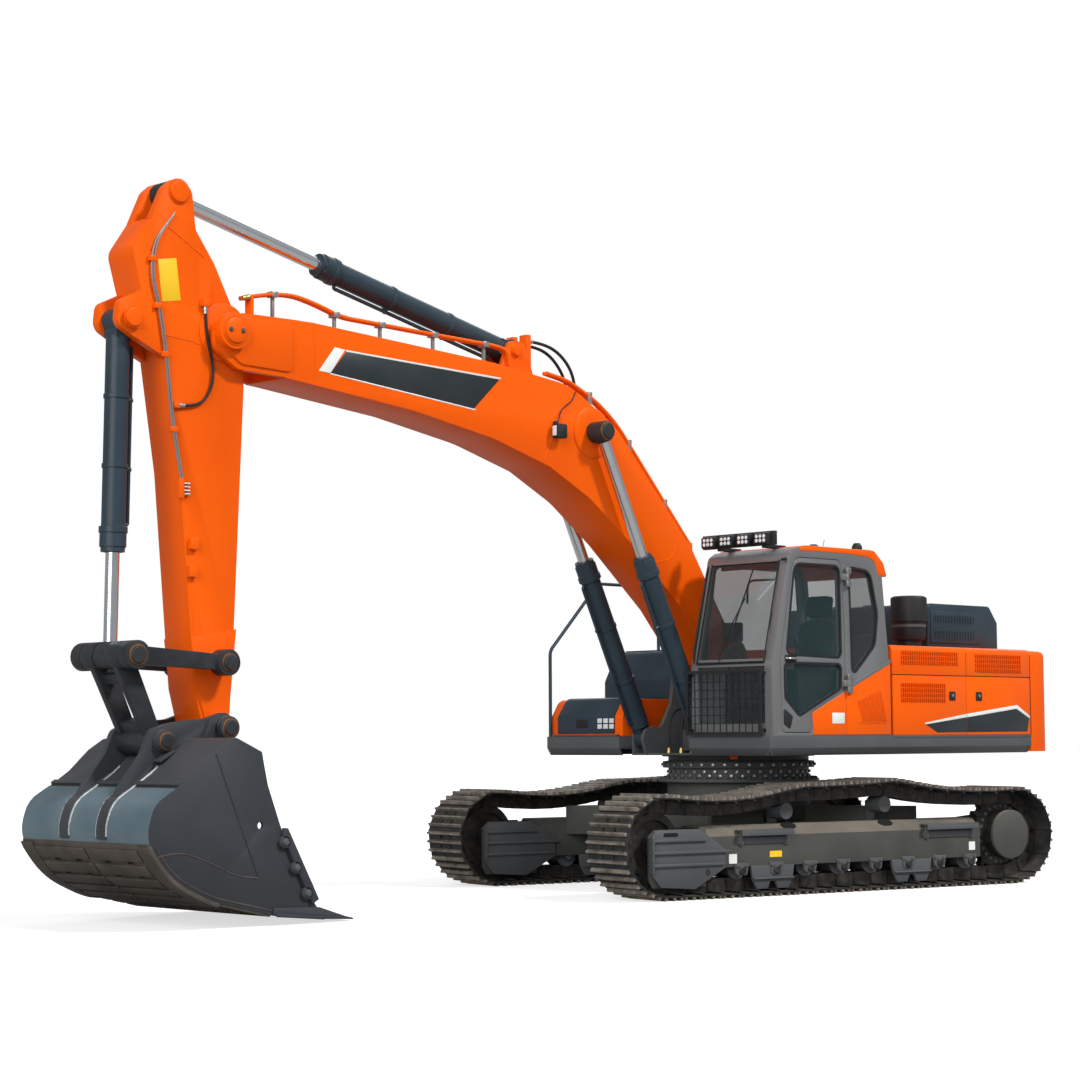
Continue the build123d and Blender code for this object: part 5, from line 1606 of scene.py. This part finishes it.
    def pins(self) -> None:
        """Pin caps, collars and their rusty rings at every pivot."""
        nose_x, nose_z = self.nose
        spots = (
            ("boom_hubs", "boom", LINK, "blue_grey_paint", [(self.hub[0], 0.477, self.hub[1], 0.075)]),
            ("nose_pins", "boom", ORANGE, "orange_paint", [(nose_x, 0.34, nose_z, 0.105)]),
            (
                "arm_pins", "arm", ORANGE, "orange_paint",
                [(6.85, 0.175, 5.8, 0.09), (7.295, 0.205, 4.73, 0.075)],
            ),
            (
                "link_pins", "side_links", LINK, "blue_grey_paint",
                [(6.48, 0.385, 2.045, 0.062), (7.345, 0.385, 2.09, 0.07)],
            ),
            (
                "bucket_pins", "bucket", LINK, "bucket_steel",
                [(6.44, 0.345, 1.53, 0.064), (7.045, 0.345, 1.43, 0.058)],
            ),
        )
        for name, body, finish, slot, places in spots:
            made, rings = Shape(), Shape()
            for x, y, z, radius in places:
                made.turned(
                    [(radius, 0.0), (radius, 0.018), (radius * 0.9, 0.024), (0.02, 0.025)], (x, y, z),
                    SIDEWAYS, 28,
                )
                rings.turned([(radius * 1.16, -0.006), (radius * 1.16, 0.006)], (x, y, z), SIDEWAYS, 28)
            made.both().piece(name, body, finish, 0.002, slot=slot)
            ring_finish = finish if finish is ORANGE else RUST
            rings.both().piece(name + "_rings", body, ring_finish, slot="steel" if finish is LINK else slot)
        both_bolts("nose_bolts", "boom", [(nose_x + shift, 0.364, nose_z) for shift in (0.06, -0.06)], 0.016)

    def hoses(self) -> None:
        """Hoses of the arm and of the arm's cylinder, with their fittings."""
        Hose(
            "hose_arm", "arm",
            [
                (6.6, 0.197, 4.8997), (6.6, 0.197, 4.7), (6.5, 0.197, 4.37), (6.58, 0.197, 4.15),
                (6.72, 0.197, 4.08), (6.8597, 0.197, 4.08),
            ],
            0.024,
        ).build()
        Hose(
            "hose_lift_left", "boom",
            [
                (2.9297, 0.085, 5.04), (2.76, 0.085, 5.04), (2.56, 0.09, 4.99), (2.4, 0.095, 4.86),
                (2.33, 0.095, 4.7), (2.33, 0.095, 4.6003),
            ],
            0.03,
        ).build()
        Hose(
            "hose_lift_right", "boom",
            [
                (2.9297, -0.085, 5.04), (2.73, -0.085, 5.04), (2.5, -0.092, 5.0), (2.32, -0.095, 4.85),
                (2.25, -0.095, 4.68), (2.25, -0.095, 4.5603),
            ],
            0.03,
        ).build()
        ends = Shape()
        for spot, axis, radius in (
            ((2.9297, 0.085, 5.04), (-1, 0, 0), 0.024), ((2.9297, -0.085, 5.04), (-1, 0, 0), 0.024),
            ((2.33, 0.095, 4.6003), UP, 0.024), ((2.25, -0.095, 4.5603), UP, 0.024),
        ):
            ends.turned(
                [(radius, 0), (radius, 0.03), (radius * 0.8, 0.034), (radius * 0.8, 0.06)], spot, axis, 12,
            )
        ends.piece("lift_fittings", "boom", STEEL, slot="bare_pipe")
        ends = Shape()
        for spot, axis in (((6.6, 0.197, 4.8997), (0, 0, -1)), ((6.8597, 0.197, 4.08), (-1, 0, 0))):
            ends.turned([(0.02, 0), (0.02, 0.03), (0.016, 0.034), (0.016, 0.06)], spot, axis, 12)
        ends.piece("arm_fittings", "arm", STEEL, slot="bare_pipe")


@dataclass
class Cylinder:
    """Hydraulic cylinder: barrel with gland, bands and oil pipe, and its rod.

    Args:
        name: kind and side of the cylinder.
        base: X and Z of the barrel's pin.
        tip: X and Z of the rod's pin.
        y: Y of the axis.
        radius: barrel's radius.
        length: barrel's length from its pin.
        rod: rod's radius.
        rod_length: rod's length from its pin.
        eye: radius of the rod's eye.
        eye_half: half the eye's width.
    """

    name: tuple[str, str]
    base: Point
    tip: Point
    y: float
    radius: float
    length: float
    rod: float
    rod_length: float
    eye: float
    eye_half: float

    def build(self) -> None:
        """Dress the barrel, replace the rod by a chromed shaft with a dark eye, and add the gland."""
        kind, word = self.name
        barrel, rod = f"{kind}_barrel{word}", f"{kind}_rod{word}"
        paint(barrel, BLUE_GREY)
        axis = Vector((self.tip[0] - self.base[0], 0, self.tip[1] - self.base[1]))
        reach = axis.length
        axis.normalize()
        origin = Vector((self.base[0], self.y, self.base[1]))
        eye = origin + axis * reach
        Shape().turned(
            [(self.rod, reach - self.rod_length), (self.rod, reach - self.eye * 0.8)], origin, axis, 36,
        ).piece(f"{rod}_shaft", rod, CHROME, replaced=[rod])
        hub = Shape()
        wide = self.eye_half
        hub.turned([
            (self.eye - 0.006, -wide), (self.eye, -wide + 0.006), (self.eye, wide - 0.006),
            (self.eye - 0.006, wide),
        ], eye, SIDEWAYS, 40)
        hub.turned([
            (self.rod + 0.006, -self.eye - 0.002), (self.rod + 0.022, -self.eye * 0.8),
            (self.rod + 0.03, -self.eye * 0.5),
        ], eye, axis, 32)
        hub.piece(f"{rod}_eye", rod, LINK)
        self.gland(barrel, origin, axis)

    def gland(self, barrel: str, origin: Vector, axis: Vector) -> None:
        """Gland collar, bands, oil pipe and bolts of the barrel.

        Args:
            barrel: node and body of the barrel.
            origin: its base pin.
            axis: its direction.
        """
        top, r = self.length, self.radius
        extra = Shape().turned([
            (r + 0.012, top - 0.2), (r + 0.018, top - 0.195), (r + 0.018, top - 0.15),
            (r + 0.0105, top - 0.145),
        ], origin, axis, 32)
        extra.turned(
            [(r - 0.02, top - 0.04), (r - 0.02, top + 0.003), (r - 0.03, top + 0.006)], origin, axis, 32,
        )
        for along in (0.32, 0.62):
            extra.turned([
                (r + 0.001, top * along), (r + 0.008, top * along + 0.004), (r + 0.008, top * along + 0.036),
                (r + 0.001, top * along + 0.04),
            ], origin, axis, 32)
        side = Vector(SIDEWAYS).cross(axis)
        start, end = origin + axis * 0.2, origin + axis * (top - 0.22)
        out = side * (r + 0.034)
        extra.tube([start + side * (r - 0.01), start + out, end + out, end + side * (r - 0.01)], 0.017, 10)
        for along in (0.34, 0.64):
            foot = origin + axis * (top * along) + side * r
            extra.tube([foot - side * 0.01, foot + side * 0.05], 0.02, 8)
        extra.piece(f"{barrel}_fittings", barrel, BLUE_GREY)
        spots, place = [], frame_along(axis).to_3x3()
        for k in range(10):
            t = 2 * math.pi * k / 10
            spots.append(
                tuple(
                    origin + axis * (top - 0.04) + place @ Vector(
                        (math.cos(t), math.sin(t), 0)
                    ) * (r - 0.006)
                )
            )
        bolts(f"{barrel}_bolts", barrel, spots, tuple(axis), 0.011)


@dataclass
class Bucket:
    """Bucket with wear plates and strips, heel shrouds, side cutters, pin collars and its links."""

    half: float = 0.87
    ear: float = 0.255
    route: tuple = (
        (6.796, 1.462, 0.09), (6.961, 1.360), (7.146, 1.193), (7.327, 1.073, 0.2), (7.52, 0.96, 0.23),
        (7.6, 0.7, 0.42), (7.36, 0.38, 0.7), (7.0, 0.215, 0.9), (6.4, 0.078, 0.9), (5.965, 0.04),
    )
    rows: int = 8
    first_row: float = 1.08
    row_step: float = 0.145

    def build(self) -> None:
        """Build every piece of the bucket and its linkage."""
        softened("bucket_shell", "bucket", BUCKET, 0.007)
        softened("bucket_edge", "bucket", BUCKET, 0.004)
        softened("side_links", "side_links", LINK, 0.012)
        self.link()
        self.cutters()
        self.wrapper()
        self.strips()
        self.side_seams()
        self.lip()

    def at(self, distance: float) -> tuple[Vector, Vector, Vector]:
        """Point, direction and outward normal on the wrapper's outline.

        Args:
            distance: metres from its upper end.
        Returns:
            The point, the direction of travel and the outward normal, all in the X-Z plane.
        """
        spots = [Vector((x, 0, z)) for x, z in rounded(self.route, ARC_STEPS)[ARC_STEPS + 1:]]
        for a, b in zip(spots, spots[1:]):
            length = (b - a).length
            if distance <= length:
                break
            distance -= length
        step = (b - a).normalized()
        return a + step * min(distance, length), step, Vector((-step.z, 0, step.x))

    def band(
        self, shape: Shape, start: float, end: float, y0: float, y1: float, low: float, high: float,
    ) -> None:
        """Layer that follows the wrapper between two distances.

        Args:
            shape: shape that gets it.
            start: first distance.
            end: last distance.
            y0: one side.
            y1: other side.
            low: height of its underside over the wrapper.
            high: height of its outer face.
        """
        count = max(3, round((end - start) / 0.05))
        outer, inner = [], []
        for k in range(count + 1):
            spot, _, out = self.at(start + (end - start) * k / count)
            for line, rise in ((outer, high), (inner, low)):
                line.append((spot.x + out.x * rise, spot.z + out.z * rise))
        shape.prism(outer + inner[::-1], y0, y1)

    def link(self) -> None:
        """Bucket link with a long window between its legs."""
        top, low = Vector((7.345, 0, 2.09)), Vector((7.045, 0, 1.43))
        along = (low - top).normalized()
        across = Vector((-along.z, 0, along.x))
        made = Shape()
        legs = [(7.25, 2.08), (7.43, 2.04), (7.12, 1.43), (6.97, 1.45)]
        for y0, y1 in ((0.13, 0.19), (-0.19, -0.13)):
            made.prism(legs, y0, y1)
        for start, end in ((0.14, 0.22), (0.55, 0.64)):
            flat = []
            for reach, side in ((start, -0.06), (end, -0.06), (end, 0.05), (start, 0.05)):
                spot = top + along * reach + across * side
                flat.append((spot.x, spot.z))
            made.prism(flat, -0.14, 0.14)
        for y0, y1 in ((0.095, 0.262), (-0.262, -0.095)):
            made.turned(
                [(0.106, y0), (0.112, y0 + 0.006), (0.112, y1 - 0.006), (0.106, y1)], top, SIDEWAYS, 40,
            )
        reach = 0.2247
        made.turned(
            [(0.097, -reach), (0.105, -reach + 0.008), (0.105, reach - 0.008), (0.097, reach)], low,
            SIDEWAYS, 40,
        )
        made.piece("bucket_link", "h_link", LINK, 0.01, replaced=["h_link"])

    def cutters(self) -> None:
        """Side cutters, straight outside and scalloped round three bolts inside."""
        y = self.half
        low, high = Vector((6.029, 0, 0.186)), Vector((6.34, 0, 0.753))
        step = (high - low).normalized()
        out = Vector((-step.z, 0, step.x))
        made, spots = Shape(), []

        def place(reach: float, side: float) -> tuple[float, float]:
            """Point beside the bucket's edge."""
            spot = low + step * reach + out * side
            return (spot.x, spot.z)

        made.plate([
            place(-0.02, 0.04), place(0.62, 0.04), place(0.64, 0.01), place(0.6, -0.03), place(-0.02, -0.03),
        ], y, 0.03)
        for reach in (0.08, 0.31, 0.54):
            x, z = place(reach, -0.035)
            made.turned([(0.05, -0.001), (0.05, 0.028), (0.047, 0.03)], (x, y, z), SIDEWAYS, 28)
            spots.append((x, y + 0.03, z))
        made.both().piece("side_cutters", "bucket", BUCKET, 0.003)
        both_bolts("cutter_bolts", "bucket", spots, 0.026)

    def wrapper(self) -> None:
        """Wrapper drawn lighter and bluish as painted sky light, its wear plate, heel shrouds, ear doublers
        and weld beads.
        """
        edge = self.half - 0.004
        skin, plate, heels, doublers, beads = Shape(), Shape(), Shape(), Shape(), Shape()
        self.band(skin, 0.47, 0.99, -edge, edge, -0.003, 0.005)
        self.band(plate, 0.985, 2.3, -edge, edge, -0.003, 0.014)
        self.band(doublers, 0.4, 0.445, -edge, edge, -0.003, 0.022)
        for side in (-1, 1):
            y0, y1 = sorted((side * (self.half - 0.15), side * (self.half + 0.012)))
            self.band(heels, 1.0, 1.8, y0, y1, -0.003, 0.03)
            y0, y1 = sorted((side * (self.ear - 0.06), side * (self.ear + 0.06)))
            self.band(doublers, 0.3, 0.96, y0, y1, -0.003, 0.018)
            for shift in (-0.066, 0.066):
                line = []
                for k in range(14):
                    spot, _, out = self.at(0.2 + 0.057 * k)
                    line.append((spot.x + out.x * 0.008, side * (self.ear + shift), spot.z + out.z * 0.008))
                beads.tube(line, 0.008, 6, 1)
        # Wrapper in the lighter bluish tone: painted sky light.
        skin.piece("bucket_wrapper", "bucket", WRAP_PAINTED_SKYLIGHT)
        plate.piece("bucket_wear_plate", "bucket", WEAR, 0.003)
        heels.piece("heel_shrouds", "bucket", WEAR, 0.006)
        doublers.piece("ear_doublers", "bucket", BUCKET, 0.004)
        beads.piece("ear_weld_beads", "bucket", WELD)

    def strips(self) -> None:
        """Wear strips in two columns, and the drain slots between their rows, drawn dark as painted shade of
        their openings.
        """
        inner, outer = 0.018, self.half - 0.17
        strip = Shape().box(-0.052, 0.052, -outer, -inner, 0.012, 0.03)
        strip.box(-0.052, 0.052, inner, outer, 0.012, 0.03)
        template = strip.object("strip_template", 0.003)
        slots = Shape()
        for y in (-0.5, -0.2, 0.2, 0.5):
            slots.box(-0.012, 0.012, y - 0.035, y + 0.035, 0.012, 0.0155)
        slot_template = slots.object("slot_template")

        def turn(step: Vector) -> tuple[float, float, float]:
            """Euler turn that lays a template's X along the wrapper with its Z outward."""
            return (0.0, math.atan2(-step.z, step.x), 0.0)

        places, turns, gaps, gap_turns = [], [], [], []
        for row in range(self.rows):
            spot, step, _ = self.at(self.first_row + self.row_step * row)
            places.append(tuple(spot))
            turns.append(turn(step))
            spot, step, _ = self.at(self.first_row + self.row_step * (row + 0.5))
            gaps.append(tuple(spot))
            gap_turns.append(turn(step))
        repeated("wear_strips", "bucket", template, places, turns, WEAR)
        # Dark boxes between the rows: painted shade in the drain slots.
        repeated("drain_slots", "bucket", slot_template, gaps, gap_turns, JOINT_DARK_AND_HOLE_SHADE)
        drop(template, slot_template)

    def side_seams(self) -> None:
        """Joint and curved weld beads of the side plates, and pin collars."""
        y = self.half
        Shape().tube([(6.966, y, 1.33), (6.56, y, 0.375)], 0.0045, 6).both().piece(
            "side_joints", "bucket", LINK, slot="bucket_steel",
        )
        bead = Shape().tube([
            (6.56, y, 0.375), (6.776, y, 0.4), (6.992, y, 0.5), (7.23, y, 0.585), (7.36, y, 0.59),
            (7.53, y, 0.56),
        ], 0.006, 6)
        rim = []
        for k in range(22):
            spot, _, out = self.at(1.0 + 0.075 * k)
            rim.append((spot.x - out.x * 0.035, y, spot.z - out.z * 0.035))
        bead.tube(rim, 0.006, 6, 1)
        bead.both().piece("side_weld_beads", "bucket", WEAR)
        collars = Shape()
        for x, z, radius in ((6.44, 1.53, 0.1), (7.045, 1.43, 0.09)):
            collars.turned(
                [(radius, 0.0), (radius, 0.02), (radius - 0.006, 0.024)], (x, 0.285, z), SIDEWAYS, 32,
            )
        collars.prism([(6.98, 1.345), (7.12, 1.26), (7.13, 1.275), (6.99, 1.36)], 0.284, 0.37)
        collars.prism([(6.62, 1.6), (6.7, 1.42), (6.68, 1.42), (6.59, 1.58)], 0.284, 0.34)
        collars.both().piece("ear_collars", "bucket", BUCKET, 0.003)

    def lip(self) -> None:
        """Thick end plates at both corners of the lip."""
        y = self.half
        made = Shape().plate(
            [(6.42, 0.08), (5.93, 0.03), (5.62, 0.012), (5.75, 0.055), (5.97, 0.125), (6.42, 0.14)], y, 0.02,
        )
        made.prism([(6.4, 0.07), (5.93, 0.026), (5.93, 0.05), (6.4, 0.098)], y + 0.018, y + 0.032)
        made.both().piece("lip_corners", "bucket", BUCKET, 0.004)


@dataclass
class Studio:
    """Pale floor, white surroundings, soft lamps and the camera of the photograph."""

    place: Point = (17.8915, 15.772, 1.4485)
    yaw: float = -2.3375
    pitch: float = 0.0816
    roll: float = -0.0051
    focal: float = 2402.03
    frame_size: float = 1080.0
    lamps: tuple = (
        ("key_lamp", (-0.28, 0.66, 0.7), 8.0, 2.8), ("fill_lamp", (0.85, 0.35, 0.4), 50.0, 2.5),
        ("rim_lamp", (-0.7, -0.5, 0.5), 40.0, 0.5),
    )
    surroundings: float = 0.32
    floor_reach: float = 120.0
    floor_seen: float = 0.5
    floor_glow: float = 0.66
    floor_thrown: Point = (0.34, 0.33, 0.32)

    def build(self) -> None:
        """Build the camera, the floor, the world and the lamps."""
        self.camera()
        self.floor()
        self.world()
        for lamp in self.lamps:
            self.sun(*lamp)
        bpy.context.scene.view_settings.view_transform = "Standard"

    def camera(self) -> None:
        """Camera at the photograph's place and angle."""
        ahead = Vector((
            math.cos(self.yaw) * math.cos(self.pitch), math.sin(self.yaw) * math.cos(self.pitch),
            math.sin(self.pitch),
        ))
        right = ahead.cross(Vector(UP)).normalized()
        up = right.cross(ahead)
        tilted = right * math.cos(self.roll) + up * math.sin(self.roll)
        upper = up * math.cos(self.roll) - right * math.sin(self.roll)
        data = bpy.data.cameras.new("photo_camera")
        data.sensor_width = 36.0
        data.sensor_fit = "HORIZONTAL"
        data.lens = 36.0 * self.focal / self.frame_size
        data.clip_end = 200.0
        made = bpy.data.objects.new("photo_camera", data)
        matrix = Matrix((tilted, upper, -ahead)).transposed().to_4x4()
        matrix.translation = Vector(self.place)
        made.matrix_world = matrix
        bpy.context.scene.collection.objects.link(made)
        bpy.context.scene.camera = made

    def floor(self) -> None:
        """Wide floor, white to the camera with a faint shadow, and dimmer in what it throws back."""
        data = bpy.data.meshes.new("floor")
        reach = self.floor_reach
        data.from_pydata(
            [(*corner, 0.0) for corner in oblong(-reach, reach, -reach, reach)], [], [(0, 1, 2, 3)],
        )
        made = bpy.data.objects.new("floor", data)
        bpy.context.scene.collection.objects.link(made)
        finish = bpy.data.materials.new("floor_white")
        finish.use_nodes = True
        nodes, links = finish.node_tree.nodes, finish.node_tree.links
        nodes.remove(nodes["Principled BSDF"])
        pale, dim = nodes.new("ShaderNodeBsdfDiffuse"), nodes.new("ShaderNodeBsdfDiffuse")
        pale.inputs["Color"].default_value = (self.floor_seen, self.floor_seen, self.floor_seen, 1.0)
        dim.inputs["Color"].default_value = (*self.floor_thrown, 1.0)
        glow, add = nodes.new("ShaderNodeEmission"), nodes.new("ShaderNodeAddShader")
        glow.inputs["Strength"].default_value = self.floor_glow
        path, pick = nodes.new("ShaderNodeLightPath"), nodes.new("ShaderNodeMixShader")
        links.new(pale.outputs["BSDF"], add.inputs[0])
        links.new(glow.outputs["Emission"], add.inputs[1])
        links.new(path.outputs["Is Camera Ray"], pick.inputs["Fac"])
        links.new(dim.outputs["BSDF"], pick.inputs[1])
        links.new(add.outputs["Shader"], pick.inputs[2])
        links.new(pick.outputs["Shader"], nodes["Material Output"].inputs["Surface"])
        data.materials.append(finish)

    def world(self) -> None:
        """White surroundings to the camera, soft grey light for the object."""
        world = bpy.data.worlds.new("studio")
        world.use_nodes = True
        bpy.context.scene.world = world
        nodes, links = world.node_tree.nodes, world.node_tree.links
        nodes.clear()
        seen, light = nodes.new("ShaderNodeBackground"), nodes.new("ShaderNodeBackground")
        seen.inputs["Color"].default_value = (1, 1, 1, 1)
        light.inputs["Color"].default_value = (0.95, 0.97, 1, 1)
        light.inputs["Strength"].default_value = self.surroundings
        path, mix, out = nodes.new("ShaderNodeLightPath"), nodes.new("ShaderNodeMixShader"), nodes.new(
            "ShaderNodeOutputWorld"
        )
        links.new(path.outputs["Is Camera Ray"], mix.inputs["Fac"])
        links.new(light.outputs["Background"], mix.inputs[1])
        links.new(seen.outputs["Background"], mix.inputs[2])
        links.new(mix.outputs["Shader"], out.inputs["Surface"])

    def sun(self, name: str, towards: Point, spread: float, power: float) -> None:
        """Distant soft lamp.

        Args:
            name: name of the lamp.
            towards: direction from the machine to the lamp.
            spread: width of the source in degrees.
            power: strength.
        """
        data = bpy.data.lights.new(name, "SUN")
        data.angle, data.energy = math.radians(spread), power
        made = bpy.data.objects.new(name, data)
        made.rotation_euler = Vector(towards).to_track_quat("Z", "Y").to_euler()
        bpy.context.scene.collection.objects.link(made)


def main() -> None:
    """Build the whole machine and the studio."""
    logging.basicConfig(level=logging.INFO, format="%(message)s")
    Studio().build()
    Undercarriage().build()
    House().build()
    Cab().build()
    Attachment().build()
    Bucket().build()
    for side, word in ((1, "_left"), (-1, "_right")):
        Cylinder(
            ("boom", word), (0.94, 1.43), Attachment.hub, side * 0.385, 0.092, 1.865, 0.055, 1.975, 0.095,
            0.092,
        ).build()
    Cylinder(("arm", ""), (3.12, 4.93), (6.85, 5.8), 0.0, 0.1, 2.25, 0.06, 2.23, 0.105, 0.088).build()
    Cylinder(
        ("bucket", ""), (7.295, 4.73), (7.345, 2.09), 0.0, 0.095, 1.83, 0.055, 1.87, 0.105, 0.088,
    ).build()


if __name__ == "__main__":
    main()
